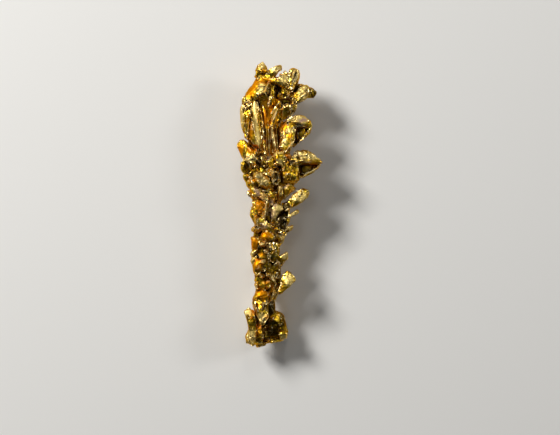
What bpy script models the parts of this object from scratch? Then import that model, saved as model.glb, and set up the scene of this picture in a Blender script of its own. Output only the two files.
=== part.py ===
"""A crystallised gold nugget, one grown piece of native gold, modelled in metres at its real size.

The nugget is a club 43 mm long. A trunk of grown-together crystals runs from a small foot to a broad
crown, and flattened crystals stand out of it like the barbs of a feather, most of them to one side.
It can't stand on its foot, so it lies on its back, where three crystals end in flat faces.

The tables are drawn on a grid of squares. x runs to the right, y runs from crown to foot and z is the
height above the surface that the nugget lies on. One square is GRID wide.
"""

import math
import random
from collections import namedtuple

import bmesh
import bpy
from mathutils import Matrix, Vector

GRID = 0.00015
DRAWING_MIDDLE = (280, 204)

# The trunk, from crown to foot: (y, middle x, middle z, half width, half depth).
TRUNK = (
    (77, 264, 36, 6, 6),
    (88, 267, 35, 13, 9),
    (104, 266, 30.5, 17, 9.5),
    (122, 264, 30, 17, 10.5),
    (142, 265, 30, 17, 10.5),
    (160, 266, 31, 17, 13.5),
    (178, 266, 31, 16, 14),
    (196, 266, 30, 14.5, 13),
    (214, 268, 29, 13, 13),
    (232, 268, 28, 14, 13),
    (250, 265, 28, 13, 12.5),
    (270, 266, 28, 13, 12),
    (288, 267.5, 28, 11.5, 11),
    (304, 264, 26, 10.5, 10),
    (322, 263, 22, 8, 10),
    (338, 262, 19, 6, 8),
)
TRUNK_SIDES = 8
TRUNK_ROUGHNESS = 0.14

# A plate is an outline drawn from the front. Its form is a chain of rings, from front to back, each
# given as (share of the outline's size, share of the depth behind the front).
PLATE_FORMS = {
    "slab": ((0.74, 0.0), (1.0, 0.34), (0.72, 1.0)),
    "facet": ((0.8, 0.0), (1.06, 1.0)),
    "dome": ((0.5, 0.0), (1.0, 0.42), (0.76, 1.0)),
    "peak": ((0.22, 0.0), (1.0, 0.5), (0.66, 1.0)),
    "hopper": ((0.88, 0.0), (1.0, 0.3), (0.74, 1.0)),
    "pan": ((0.9, 0.0), (1.0, 0.3), (0.74, 1.0)),
}
# A hopper and a pan have a recess in the front, inside a narrow rim: (share of the outline's size at
# the top of the recess, share at its floor, share of the depth).
RECESSES = {
    "hopper": (0.78, 0.64, 0.55),
    "pan": (0.84, 0.74, 0.2),
}
PLATE_ROUGHNESS = 0.35

# The front of a plate rises to an apex, by this share of the depth. The apex is this share of the way
# from the middle to the front's first corner.
APEX_RISE = {"slab": 0.18, "facet": 0.2, "dome": 0.14, "peak": 0.2, "hopper": 0.0, "pan": 0.06}
APEX_SHIFT = 0.4

# A bar is a chain of hexagonal sections from root to tip: (place along it, share of width, of depth).
BAR_FORMS = {
    "blade": ((0.0, 0.6, 0.7), (0.78, 1.0, 1.0), (1.0, 0.55, 0.45)),
    "leaf": ((0.0, 0.6, 0.7), (0.5, 1.0, 1.0), (1.0, 0.2, 0.26)),
    "block": ((0.0, 0.8, 0.8), (0.9, 1.0, 1.0), (1.0, 0.74, 0.7)),
    "knob": ((0.0, 0.7, 0.7), (0.6, 1.0, 1.0), (1.0, 0.45, 0.45)),
    "rib": ((0.0, 1.0, 1.0), (1.0, 0.6, 0.6)),
}
# How wide the flat front and back of a bar are, as a share of its width. A rib comes to a keen edge.
FLAT_SHARE = {"blade": 0.56, "leaf": 0.56, "block": 0.56, "knob": 0.56, "rib": 0.2}
BAR_ROUGHNESS = 0.06

SAME_FACET = math.radians(2.0)

Plate = namedtuple("Plate", "name form z depth lean outline")
Bar = namedtuple("Bar", "name form root tip width depth facing")


def plate(name, form, z, depth, lean, *outline):
    """A crystal drawn by its outline.

    z is the height of its front, and lean the rise of its front to the right and to the foot.
    """
    return Plate(name, form, z, depth, lean, outline)


def bar(name, form, root, tip, width, depth, facing=(0, 0, 1)):
    """A crystal from root to tip, whose flat face looks towards facing."""
    return Bar(name, form, Vector(root), Vector(tip), width, depth, Vector(facing))


CROWN = (
    plate("crown_knob", "peak", 46, 14, (0, 0),
          (263, 61), (266.5, 66), (268, 71), (265, 77), (258, 77), (254.5, 71), (257, 65)),
    plate("crown_bead", "dome", 45, 8, (0, 0), (256, 72), (259, 75), (256.5, 78.5), (253.5, 76)),
    plate("crown_neck", "facet", 45, 13, (0.2, 0.2),
          (256, 75), (264, 73), (272, 77), (280, 79), (280, 86), (268, 87), (257, 82)),
    plate("crown_arm", "slab", 46, 11, (0.2, 0.1),
          (264, 76), (268.5, 70), (274, 66.5), (279, 67), (279, 72), (276, 76), (269, 79)),
    plate("crown_arm_end", "slab", 44, 9, (-0.3, 0),
          (276, 66), (280, 64.5), (282.5, 67), (281, 71), (277, 71)),
    plate("crown_saddle", "dome", 50, 12, (0.2, 0.1),
          (268, 80), (276, 78.5), (282, 77), (286.5, 80), (286.5, 87), (280, 88), (274, 85)),
    plate("crown_block", "slab", 48, 14, (0.1, 0.2),
          (278, 79), (280.5, 73), (285, 71), (289, 74), (289, 86), (282, 89)),
    plate("crown_tall_blade", "slab", 48, 14, (0, 0.2),
          (286, 87), (287, 76), (289, 70), (293, 67.5), (299, 70), (300.5, 74), (298, 83),
          (294, 92), (286, 96)),
    bar("crown_tall_rib_1", "rib", (285.5, 89, 48), (289.5, 71.5, 49), 2.6, 6),
    bar("crown_tall_rib_2", "rib", (289, 90, 49), (295, 70.5, 50), 4.4, 7),
    bar("crown_tall_rib_3", "rib", (293, 90, 48), (299, 73, 48), 2.4, 6),
    plate("crown_web", "facet", 42, 12, (-0.1, -0.1),
          (286, 86), (294, 84), (303, 83.5), (306, 86), (300, 93), (293, 100), (286, 98)),
    plate("crown_gable", "slab", 50, 14, (0.1, 0.25),
          (290, 101), (294, 94), (299, 88.5), (305, 84), (309, 87), (310, 94), (306, 100),
          (299, 104), (291, 105)),
    plate("crown_gable_spur", "slab", 42, 9, (-0.2, 0),
          (306, 88), (312, 87), (317.5, 92.5), (314, 98), (307, 98)),
    bar("crown_gable_edge", "rib", (292, 102, 50), (308, 92, 52), 3, 6),
    plate("shoulder", "facet", 45, 14, (0.4, 0.15),
          (256, 79), (264, 79), (271, 83), (266, 91), (258, 99), (251, 104), (243, 107),
          (241.5, 99), (249, 90)),
    bar("shoulder_edge", "rib", (270, 82, 48), (264, 94, 49), 3.5, 6),
    bar("shoulder_edge_foot", "rib", (264, 92, 48), (269, 100, 46), 3, 6),
    plate("crown_inner_left", "facet", 46, 12, (0, 0.1),
          (270, 84), (276, 84), (276, 93), (273, 107), (268, 108)),
    plate("crown_inner_right", "facet", 45, 10, (0.1, 0.2),
          (280, 86), (287, 88), (291, 93), (286, 99), (281, 100)),
    plate("crown_inner_bead", "dome", 48, 10, (0, 0),
          (279, 91.5), (283, 93), (283, 98), (279, 100), (276.5, 96)),
    bar("cave_lip_1", "rib", (271, 114, 45), (280, 101, 48), 3.6, 8),
    bar("cave_lip_2", "rib", (277, 112, 45), (293, 102, 45), 2.8, 6),
    plate("cave_leaf", "slab", 37, 8, (-0.2, 0),
          (277, 123), (278, 110), (286, 102), (294, 101), (298.5, 104.5), (294, 112), (287, 119)),
)

GREAT_BLADE = (
    plate("blade_rim", "slab", 42, 14, (0.5, 0),
          (240, 108), (243.5, 103), (247, 106), (247, 122), (246.5, 134), (242.5, 132),
          (240.5, 120)),
    bar("rim_barb_1", "rib", (242, 104, 42), (252, 98.5, 47), 2.2, 4),
    bar("rim_barb_2", "rib", (243, 108, 43), (251, 101.5, 47.5), 2, 4),
    bar("rim_barb_3", "rib", (245, 110, 44), (251, 105, 48), 2, 4),
    plate("blade_flank", "facet", 44, 10, (0.2, 0),
          (245, 109), (251, 107), (250, 122), (249, 141), (244, 137)),
    plate("great_blade", "slab", 52, 17, (0.3, 0.03),
          (254.5, 98.5), (258, 104), (258.5, 116), (259.5, 128), (262, 142), (261, 152),
          (258.5, 148), (256, 138), (253.5, 127), (251.3, 115), (250.5, 107)),
    plate("blade_hollow", "facet", 48.5, 14, (0.25, 0.1),
          (250.5, 112), (254, 122), (256, 136), (259, 148), (253, 147), (247.5, 138), (247, 124)),
    bar("blade_left_ridge", "rib", (247.5, 140, 46), (250.5, 109, 50.5), 1.8, 6),
    bar("blade_keel", "rib", (262.5, 153, 47), (258.5, 111, 50), 2.2, 8),
    bar("blade_second_keel", "rib", (264.5, 154, 45), (260.8, 110, 49), 2.2, 8),
    plate("blade_pommel", "dome", 50, 10, (0, 0),
          (255, 148), (260, 148), (262, 152), (258, 155), (254.5, 153)),
)

RIBS = (
    plate("rib_lens", "slab", 46, 10, (0.2, 0),
          (262, 103), (266, 109), (268.5, 120), (269, 134), (266, 138), (263.5, 126)),
    bar("rib_1", "rib", (266.4, 155, 42.5), (266.5, 128, 47), 3.4, 9),
    bar("rib_2", "rib", (269.5, 152, 42), (269, 126, 46), 2.2, 9),
    bar("rib_3_head", "rib", (271, 126, 48), (278, 108, 51), 5.4, 10, (0.15, 0, 1)),
    bar("rib_3", "rib", (274.5, 153, 43), (271.5, 121, 48), 4.4, 9, (0.15, 0, 1)),
    bar("rib_4", "rib", (277, 151, 42), (275.5, 124, 46), 2.4, 8, (0.3, 0, 1)),
    bar("rib_5", "rib", (281, 150, 38), (282, 120, 40), 3.4, 8, (0.3, 0, 1)),
)

LEFT = (
    plate("left_ear", "slab", 44, 13, (0.3, 0.1),
          (236, 145.5), (238.5, 141), (243, 138.5), (248, 143), (252, 153), (248, 160), (243, 159)),
    plate("left_ear_root", "facet", 47, 12, (0.2, 0.1),
          (247, 145), (254, 149), (261, 155), (256, 160), (247, 158)),
    plate("left_hood", "slab", 50, 10, (0.1, 0),
          (241.5, 161), (247, 157.5), (252, 155), (256.5, 158), (256, 164), (249, 162)),
    plate("left_hood_bead", "dome", 50, 9, (0, 0),
          (252, 162), (256, 161.5), (257.5, 165), (254, 167.5), (251, 165.5)),
    plate("left_bowl", "slab", 42, 13, (0.1, -0.3),
          (240, 163), (244, 160), (252, 162), (253, 172), (247, 178), (241, 171)),
    plate("left_nodule_1", "dome", 43, 9, (0, 0),
          (245, 183), (248, 179.5), (252, 182), (251, 188), (247, 187)),
    plate("left_nodule_2", "dome", 42, 9, (0, 0),
          (245.5, 193), (248, 189.5), (252, 191), (252, 197.5), (248.5, 197)),
    plate("left_knuckle", "facet", 46, 10, (0, 0),
          (250, 176), (255, 179), (260, 186), (256, 191), (250, 188)),
)

RIGHT = (
    plate("right_upper_body", "dome", 48, 18, (0.1, 0),
          (279, 127), (284, 121.5), (291, 119), (297, 121), (296, 132), (295, 142), (290, 151),
          (282, 151), (279.5, 140)),
    plate("right_upper_cheek", "slab", 51, 10, (0, 0.1),
          (280.5, 147), (283, 137), (289, 130.5), (295, 127), (296, 140), (291, 150), (284, 152)),
    plate("right_upper_roof", "slab", 48, 11, (0, 0.15),
          (286, 121.5), (292, 118), (298.5, 114), (305, 117), (311, 120.5), (313, 127),
          (306, 127), (296, 125)),
    plate("right_upper_hopper", "hopper", 46, 16, (-0.1, 0),
          (294, 123), (303, 122), (312.5, 126), (311, 131), (306, 137), (300, 143), (293, 149),
          (293, 136)),
    bar("right_upper_lip", "rib", (300, 141, 45), (311.5, 127.5, 46), 3, 6),
    plate("right_box", "slab", 52, 14, (0.1, 0.15),
          (272, 157), (276, 151.5), (283, 151), (286.5, 156), (285, 167), (277, 165)),
    bar("right_box_edge", "rib", (284.5, 168, 50), (273, 156, 53), 3, 6),
    plate("right_ball", "dome", 50, 12, (0, 0),
          (285, 153.5), (289, 152.5), (291.5, 156), (289.5, 160), (285.5, 160)),
    plate("right_beak_root", "facet", 46, 12, (0, 0.1),
          (285, 157), (293, 157), (301, 162), (300, 170), (290, 170)),
    plate("right_beak", "slab", 49, 11, (0.05, 0.3),
          (289, 160), (293, 154), (302, 150), (309, 151.5), (316, 155.5), (323.5, 163.5),
          (315, 164), (302, 164)),
    bar("right_beak_ridge", "rib", (290, 163, 49), (304, 160.5, 53), 3.4, 6),
    plate("right_beak_jaw", "hopper", 46, 14, (0, 0),
          (297, 165), (306, 162), (321, 164), (318.5, 168), (311, 174), (302, 178.5), (297, 176)),
    bar("right_beak_lip", "rib", (301, 178, 45), (317.5, 168, 46), 2.6, 5),
    plate("right_body", "dome", 49, 18, (0, 0),
          (280, 172), (288, 164), (297, 165), (301, 172), (299, 181), (293, 185.5), (281, 183)),
    plate("right_cheek", "facet", 48, 12, (0, 0),
          (281, 158), (289, 161), (291, 170), (286, 178), (282, 170)),
    plate("right_thorn", "slab", 44, 12, (-0.2, 0),
          (283, 187), (289, 182.5), (296.5, 188), (291, 193), (284, 200)),
    plate("right_paddle", "slab", 48, 12, (0.1, 0.25),
          (288.5, 202), (292, 195.5), (298, 191), (304, 188), (308.5, 190.5), (309.5, 195),
          (303, 202), (291, 208.5)),
    bar("right_paddle_root", "block", (280, 211, 36), (292, 202, 43), 9, 9),
    bar("right_needle_1", "block", (282, 222, 36), (298.5, 210.5, 43), 4.4, 6),
    bar("right_needle_2", "block", (280, 238, 34), (293.5, 225.5, 40), 4, 6),
    plate("right_needle_bead", "dome", 43, 6, (0, 0),
          (287, 226), (290.5, 226), (291, 229.5), (288, 230.5), (286, 229)),
    bar("right_needle_3", "rib", (279, 246, 34), (286.5, 234.5, 39), 3.6, 6),
    plate("right_fork", "slab", 45, 9, (0, 0),
          (277, 258), (283, 253.5), (287, 251), (289, 256), (286, 260.5), (279, 263)),
    bar("right_fork_tine", "rib", (275, 280, 36), (285, 258.5, 42), 4, 7),
    plate("right_kite", "slab", 45, 8, (0.15, 0.2),
          (282, 277), (287, 269.5), (292, 273.5), (296.5, 279.5), (289, 287), (280, 295),
          (278, 292), (282, 284)),
    bar("right_kite_edge", "rib", (279, 294, 40), (294.5, 281, 43), 3, 5),
    bar("right_kite_root", "blade", (268, 298, 31), (283, 286, 39), 7, 7),
)

FRONT = (
    plate("front_cluster", "dome", 54, 16, (0.1, 0.1),
          (252, 174), (257, 171), (265, 174), (271, 181), (271, 189), (264, 189), (256, 182)),
    plate("front_cluster_bead_1", "dome", 57, 12, (0.35, 0.3),
          (252.5, 174), (256, 171), (260.5, 172), (262.5, 176.5), (260, 180.5), (255.5, 179)),
    plate("front_cluster_bead_2", "dome", 56.5, 12, (0.35, 0.3),
          (261, 176), (265, 175), (269.5, 180), (271, 186), (267, 188), (262.5, 183)),
    plate("front_knob", "peak", 54, 12, (0, 0),
          (269, 171), (272, 168), (275.5, 171), (276, 180), (273, 181)),
    plate("front_cup", "hopper", 51, 10, (0, 0),
          (272, 172), (279, 171), (281, 180), (277, 186), (272, 183)),
    plate("front_saddle_1", "dome", 49, 12, (0, 0),
          (259, 158), (263, 155.5), (268, 160), (267, 167), (261, 166)),
    plate("front_saddle_2", "facet", 46, 8, (0, 0),
          (268, 158), (273, 160), (278, 168), (271, 170), (266, 167)),
    plate("front_post", "dome", 51, 14, (0, 0),
          (277.5, 187), (280, 183.5), (283, 187), (283, 198), (279, 203), (277.5, 195)),
    plate("front_patch", "facet", 48, 12, (0, 0),
          (251, 187), (260, 188), (264, 195), (258, 200), (251, 198)),
    plate("front_bean", "dome", 51, 12, (0, 0),
          (259, 193), (264, 191), (268, 196), (268, 202), (263, 200)),
    plate("front_niche", "facet", 47, 12, (0, 0),
          (269, 190), (276, 190), (277, 200), (270, 203), (267, 197)),
    plate("waist_window", "facet", 46, 12, (0.2, 0.1),
          (252, 200), (258, 198), (265, 201), (266, 209), (262, 217), (254, 216)),
    bar("waist_ridge", "rib", (264.5, 219, 46), (267, 198, 50.5), 2.6, 7),
    bar("waist_bar", "rib", (269, 209, 45), (275, 199, 49), 3, 6),
    plate("waist_blade", "slab", 48, 13, (0, 0),
          (271, 207), (276, 203), (282, 205), (284, 209), (277, 215), (275, 225), (271, 222)),
    plate("waist_hopper", "hopper", 43, 12, (-0.2, 0),
          (276, 212), (283, 207), (290, 208), (289, 220), (284, 236), (276, 230)),
    plate("waist_hopper_knob", "dome", 45, 12, (0, 0),
          (276.5, 218), (280, 216), (282.5, 219), (280, 222), (277, 221.5)),
    plate("waist_step_1", "facet", 46, 12, (0, 0),
          (253, 218), (259, 216), (266, 219), (267, 226), (257, 227)),
    plate("waist_step_2", "facet", 47, 12, (0, 0),
          (262, 223), (269, 222), (274, 228), (270, 233), (263, 229)),
    bar("waist_chevron", "rib", (268, 226, 44), (282, 240, 42), 5, 7),
    plate("waist_wedge", "slab", 43, 12, (0.3, 0),
          (250.5, 229), (256, 224.5), (260, 227), (258, 233), (252, 232)),
    plate("stem_swell", "facet", 47, 10, (0, 0),
          (260, 238), (262, 232), (268, 230), (274, 235), (275, 240), (266, 242)),
    plate("stem_left_face", "facet", 44, 10, (0.3, 0),
          (251, 237), (257, 236), (260, 241), (258, 251), (251.5, 249)),
    plate("stem_bean_1", "dome", 49, 8, (0, 0),
          (258.5, 244.5), (262, 242), (266.5, 243), (265, 246), (260, 247)),
    plate("stem_bean_2", "peak", 48, 9, (0, 0), (262.5, 249), (267, 248.5), (269, 254), (265, 254)),
    plate("stem_bean_3", "dome", 48, 8, (0, 0),
          (261, 260), (264, 258.5), (266, 261.5), (263.5, 264), (261, 263)),
    plate("stem_panel", "facet", 45.5, 12, (0.1, 0),
          (268, 243), (273, 240), (279, 243), (279, 258), (276, 265), (269, 262)),
    bar("stem_rib_1", "rib", (269, 265, 44), (269, 241, 47.5), 2.2, 6),
    bar("stem_rib_2", "rib", (274.5, 266, 43), (275, 241.5, 47), 2.2, 6),
    bar("stem_rib_3", "rib", (278.5, 261, 42), (279, 242, 45), 2.2, 6),
    plate("stem_flank", "slab", 36, 12, (-0.1, 0),
          (273, 262), (279.5, 262), (281, 275), (281, 287), (277, 294), (273, 290)),
    plate("stem_left_ledge_1", "slab", 41, 9, (0.3, 0),
          (249.5, 254), (252, 250.5), (257, 249), (257, 253), (252, 257.5)),
    plate("stem_left_ledge_2", "slab", 42, 9, (0.3, 0),
          (249.5, 261), (253, 257), (257, 256), (257, 260), (252, 265)),
    plate("stem_low_face", "facet", 45, 10, (0.3, 0),
          (253, 263), (257, 258), (262, 260), (262, 272), (257, 277), (253, 272)),
    plate("stem_bead_1", "dome", 46, 9, (0, 0),
          (266, 273), (269, 271), (272, 274), (270, 277.5), (266.5, 277)),
    plate("stem_bead_2", "dome", 46, 8, (0, 0),
          (259.5, 275), (262, 273.5), (265, 276), (262.5, 279), (260, 278)),
    bar("stem_crescent_1", "rib", (270, 276, 42), (276.5, 285, 43), 3.4, 6),
    bar("stem_crescent_2", "rib", (276, 282, 42), (273, 292, 41), 3.4, 6),
    bar("stem_block", "block", (268, 285, 37), (268.3, 284, 45), 5.5, 8, (0, 1, 0)),
    plate("stem_left_bead", "dome", 40, 8, (0, 0),
          (254, 284), (257, 280.5), (259, 285), (258, 290), (255, 289)),
    plate("ankle_face", "facet", 43, 10, (0.1, 0),
          (255.5, 292), (262, 289), (269, 292), (269, 300), (261, 303), (252, 300)),
    bar("ankle_bar_1", "rib", (269, 304, 37), (275, 291, 40), 3.8, 6),
    bar("ankle_bar_2", "rib", (271, 306, 34), (278, 293.5, 37), 3.2, 6),
    plate("ankle_flank", "slab", 35, 12, (-0.2, 0),
          (266, 301), (272, 299), (275.5, 305), (275, 314), (268, 318)),
)

FOOT = (
    plate("foot_shield", "slab", 44, 14, (0.25, 0.2),
          (251, 302), (257, 298), (267, 299), (268.5, 308), (269.5, 317), (262, 326.5),
          (257.5, 318)),
    bar("shield_edge", "rib", (253, 301, 44), (261, 322, 43), 3.4, 6),
    bar("shield_spine", "rib", (264, 302, 45), (262, 320, 44), 3.6, 6),
    plate("foot_prong", "slab", 40, 14, (0.15, 0),
          (243.5, 310.5), (250, 308), (255, 313), (257, 326), (256, 340), (252.5, 346.5),
          (248, 338), (249, 325)),
    plate("foot_heel", "dome", 36, 14, (0.1, 0),
          (245, 336), (248, 330), (253, 334), (254, 343), (250.5, 346.5), (246, 342)),
    bar("foot_prong_edge", "rib", (253, 346, 37), (246, 312, 43), 3.4, 6),
    plate("foot_joint", "facet", 35, 12, (0, 0),
          (255, 325), (262, 322), (264, 336), (262, 345), (254, 344)),
    plate("foot_block", "facet", 31, 22, (-0.2, -0.2),
          (262, 326), (270, 319), (284, 320), (287, 330), (287.5, 338), (274, 342), (263, 341)),
    plate("foot_block_top", "facet", 33, 18, (-0.2, 0),
          (266, 320), (271, 311), (280, 313), (284, 317), (285, 325), (268, 328)),
    plate("foot_block_corner", "slab", 35, 10, (0, 0),
          (278, 333), (283, 330), (287.5, 333), (287, 339), (280, 340)),
    bar("foot_block_sill", "rib", (260, 345, 26), (284, 340, 28), 5, 8),
    bar("foot_sole", "block", (257, 336, 24), (262, 347.5, 22), 12, 10),
)

# The hidden side: barbs that lean towards the crown and stay above the surface that the nugget lies on.
BACK = (
    bar("back_crown_blade_1", "leaf", (271, 100, 30), (279, 75, 20), 14, 10, (0.2, -0.5, -0.8)),
    bar("back_crown_blade_2", "blade", (260, 116, 28), (252, 92, 19), 14, 10, (-0.4, -0.5, -0.7)),
    bar("back_crown_blade_3", "blade", (276, 108, 30), (297, 90, 26), 12, 10, (0.4, -0.4, -0.8)),
    bar("back_blade_1", "leaf", (269, 133, 24), (270, 105, 7), 15, 10, (0, -0.6, -0.8)),
    bar("back_blade_2", "blade", (261, 160, 24), (251, 139, 8), 14, 10, (-0.3, -0.6, -0.7)),
    bar("back_blade_3", "leaf", (277, 165, 24), (289, 144, 8), 14, 10, (0.3, -0.6, -0.7)),
    bar("back_blade_4", "blade", (265, 186, 22), (262, 162, 6), 15, 10, (0, -0.6, -0.8)),
    bar("back_blade_5", "leaf", (276, 202, 22), (287, 182, 9), 13, 9, (0.3, -0.6, -0.7)),
    bar("back_blade_6", "leaf", (265, 218, 22), (259, 196, 8), 13, 9, (-0.2, -0.6, -0.7)),
    bar("back_blade_7", "blade", (273, 238, 21), (281, 217, 7), 12, 9, (0.2, -0.6, -0.7)),
    bar("back_blade_8", "leaf", (264, 254, 21), (258, 235, 8), 12, 8, (-0.2, -0.6, -0.7)),
    bar("back_blade_9", "leaf", (270, 274, 21), (276, 254, 8), 11, 8, (0.2, -0.6, -0.7)),
    bar("back_blade_10", "blade", (264, 294, 20), (258, 276, 9), 11, 8, (-0.2, -0.6, -0.7)),
    bar("left_low_blade_1", "blade", (256, 141, 26), (243, 118, 26), 12, 9, (-0.9, 0, 0.1)),
    bar("left_low_blade_2", "blade", (254, 190, 26), (245, 172, 24), 11, 9, (-0.9, 0, 0.1)),
    bar("left_low_blade_3", "leaf", (256, 224, 24), (251, 206, 22), 9, 7, (-0.9, 0, 0.1)),
    bar("right_low_blade_1", "leaf", (278, 143, 28), (303, 128, 27), 14, 10, (0.3, 0.4, 0.6)),
    bar("right_low_blade_2", "blade", (278, 184, 28), (306, 166, 26), 13, 10, (0.2, 0.4, 0.7)),
    bar("right_low_blade_3", "leaf", (277, 229, 25), (290, 214, 22), 11, 8, (0.3, 0.4, 0.6)),
)

# Three back crystals lean down to the surface and end there in a flat face: (name, outline of the flat
# face, how far the root lies from it in x and y, height of the root).
RESTING = (
    ("rest_crown_left",
     ((247, 118), (253, 113), (260, 116), (261, 124), (254, 128), (248, 125)), (6, 16), 25),
    ("rest_crown_right",
     ((281, 123), (288, 117), (294, 119), (294, 126), (287, 131), (282, 130)), (-9, 15), 26),
    ("rest_foot",
     ((266, 326), (272, 321), (280, 323), (282, 330), (275, 335), (267, 333)), (-2, 4), 16),
)
RESTING_SWELL = 1.3
RESTING_SHOULDER = 0.4

# Small crystals that crowd the hidden side of the trunk between the large ones.
CRUMB_COUNT = 2
CRUMB_LENGTH = (6, 11)
CRUMB_WIDTH = (4, 7)
CRUMB_LEAN = 0.55
CRUMB_SINK = 0.45
CRUMB_SEED = 11

GOLD_COLOUR = (0.83, 0.55, 0.17, 1.0)
GOLD_ROUGHNESS = 0.3


def clear_scene():
    for thing in list(bpy.data.objects):
        bpy.data.objects.remove(thing)


def gold_material():
    material = bpy.data.materials.new("native_gold")
    material.use_nodes = True
    shader = material.node_tree.nodes["Principled BSDF"]
    shader.inputs["Base Color"].default_value = GOLD_COLOUR
    shader.inputs["Metallic"].default_value = 1.0
    shader.inputs["Roughness"].default_value = GOLD_ROUGHNESS
    return material


def new_object(name, bm, helper=True):
    """An object from a bmesh drawn in grid squares. A helper only takes part in the union."""
    middle_x, middle_y = DRAWING_MIDDLE
    to_metres = Matrix.Diagonal((GRID, -GRID, GRID, 1)) @ Matrix.Translation((-middle_x, -middle_y, 0))
    bm.transform(to_metres)
    bmesh.ops.triangulate(bm, faces=bm.faces)
    bmesh.ops.recalc_face_normals(bm, faces=bm.faces)
    mesh = bpy.data.meshes.new(name)
    bm.to_mesh(mesh)
    bm.free()
    made = bpy.data.objects.new(name, mesh)
    made.hide_render = helper
    made.display_type = "WIRE" if helper else "TEXTURED"
    return made


def loft(rings, apex=None):
    """A bmesh of one closed skin: quads between neighbouring rings of points, and a cap at each end.

    With an apex, the first cap is a fan of triangles that meet in it.
    """
    bm = bmesh.new()
    loops = [[bm.verts.new(point) for point in ring] for ring in rings]
    for low, high in zip(loops, loops[1:]):
        count = len(low)
        for i in range(count):
            j = (i + 1) % count
            bm.faces.new((low[i], low[j], high[j], high[i]))
    bm.faces.new(loops[-1])
    if apex is None:
        bm.faces.new(reversed(loops[0]))
        return bm
    top = bm.verts.new(apex)
    for near, far in zip(loops[0], loops[0][1:] + loops[0][:1]):
        bm.faces.new((far, near, top))
    return bm


def plate_object(item):
    """A crystal with the outline of its item, and a recess in its front where the form has one."""
    dice = random.Random(item.name)
    middle_x = sum(x for x, _ in item.outline) / len(item.outline)
    middle_y = sum(y for _, y in item.outline) / len(item.outline)
    chain = list(PLATE_FORMS[item.form])
    if item.form in RECESSES:
        rim, floor, drop = RECESSES[item.form]
        chain = [(floor, drop), (rim, 0.0)] + chain
    front_size, front_behind = chain[0]
    apex_side = (item.outline[0][0] - middle_x) * front_size * APEX_SHIFT
    apex_down = (item.outline[0][1] - middle_y) * front_size * APEX_SHIFT
    apex_z = item.z + (APEX_RISE[item.form] - front_behind) * item.depth
    apex_z += item.lean[0] * apex_side + item.lean[1] * apex_down
    rings = []
    for size, behind in chain:
        ring = []
        for x, y in item.outline:
            side = (x - middle_x) * size
            down = (y - middle_y) * size
            z = item.z - behind * item.depth + item.lean[0] * side + item.lean[1] * down
            ring.append((middle_x + side, middle_y + down, z + dice.uniform(-1, 1) * PLATE_ROUGHNESS))
        rings.append(ring)
    return new_object(item.name, loft(rings, (middle_x + apex_side, middle_y + apex_down, apex_z)))


def hexagon(half_width, half_depth, flat_share):
    """A flattened hexagon: two flat faces, front and back, and two keen edges at the sides."""
    flat = half_width * flat_share
    return (
        (half_width, 0.0),
        (flat, half_depth),
        (-flat, half_depth),
        (-half_width, 0.0),
        (-flat, -half_depth),
        (flat, -half_depth),
    )


def bar_object(item):
    """A crystal of hexagonal sections between its root and its tip, a little irregular."""
    dice = random.Random(item.name)
    along = (item.tip - item.root).normalized()
    across = item.facing.cross(along).normalized()
    outward = along.cross(across)
    length = (item.tip - item.root).length
    rings = []
    for place, wide, deep in BAR_FORMS[item.form]:
        middle = item.root + along * length * place
        ring = []
        for side, front in hexagon(item.width * wide / 2, item.depth * deep / 2, FLAT_SHARE[item.form]):
            side += dice.uniform(-1, 1) * BAR_ROUGHNESS * item.width * wide
            front += dice.uniform(-1, 1) * BAR_ROUGHNESS * item.depth * deep
            ring.append(middle + across * side + outward * front)
        rings.append(ring)
    return new_object(item.name, loft(rings))


def trunk_object():
    """The trunk, a loft of eight-sided sections whose corners stand in and out as ledges."""
    dice = random.Random(3)
    rings = []
    for y, x, z, half_width, half_depth in TRUNK:
        ring = []
        for side in range(TRUNK_SIDES):
            turn = math.tau * (side + dice.uniform(-0.25, 0.25)) / TRUNK_SIDES
            reach = 1 + dice.uniform(-1, 1) * TRUNK_ROUGHNESS
            slip = dice.uniform(-3, 3)
            out_x = half_width * reach * math.cos(turn)
            out_z = half_depth * reach * math.sin(turn)
            ring.append((x + out_x, y + slip, z + out_z))
        rings.append(ring)
    return new_object("nugget", loft(rings), helper=False)


def resting_object(name, outline, root_offset, root_height):
    """A leaning back crystal whose end is a flat face at height 0."""
    middle_x = sum(x for x, _ in outline) / len(outline)
    middle_y = sum(y for _, y in outline) / len(outline)
    rings = []
    for share, size in ((0.0, 1.0), (RESTING_SHOULDER, RESTING_SWELL), (1.0, 1.0)):
        slide_x = root_offset[0] * share
        slide_y = root_offset[1] * share
        ring = []
        for x, y in outline:
            side = middle_x + slide_x + (x - middle_x) * size
            down = middle_y + slide_y + (y - middle_y) * size
            ring.append((side, down, root_height * share))
        rings.append(ring)
    return new_object(name, loft(rings))


def trunk_at(y):
    """(x, z, half width, half depth) of the trunk at y, in a straight line between its sections."""
    for low, high in zip(TRUNK, TRUNK[1:]):
        if y <= high[0]:
            share = (y - low[0]) / (high[0] - low[0])
            return [a + (b - a) * share for a, b in zip(low[1:], high[1:])]
    return TRUNK[-1][1:]


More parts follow.
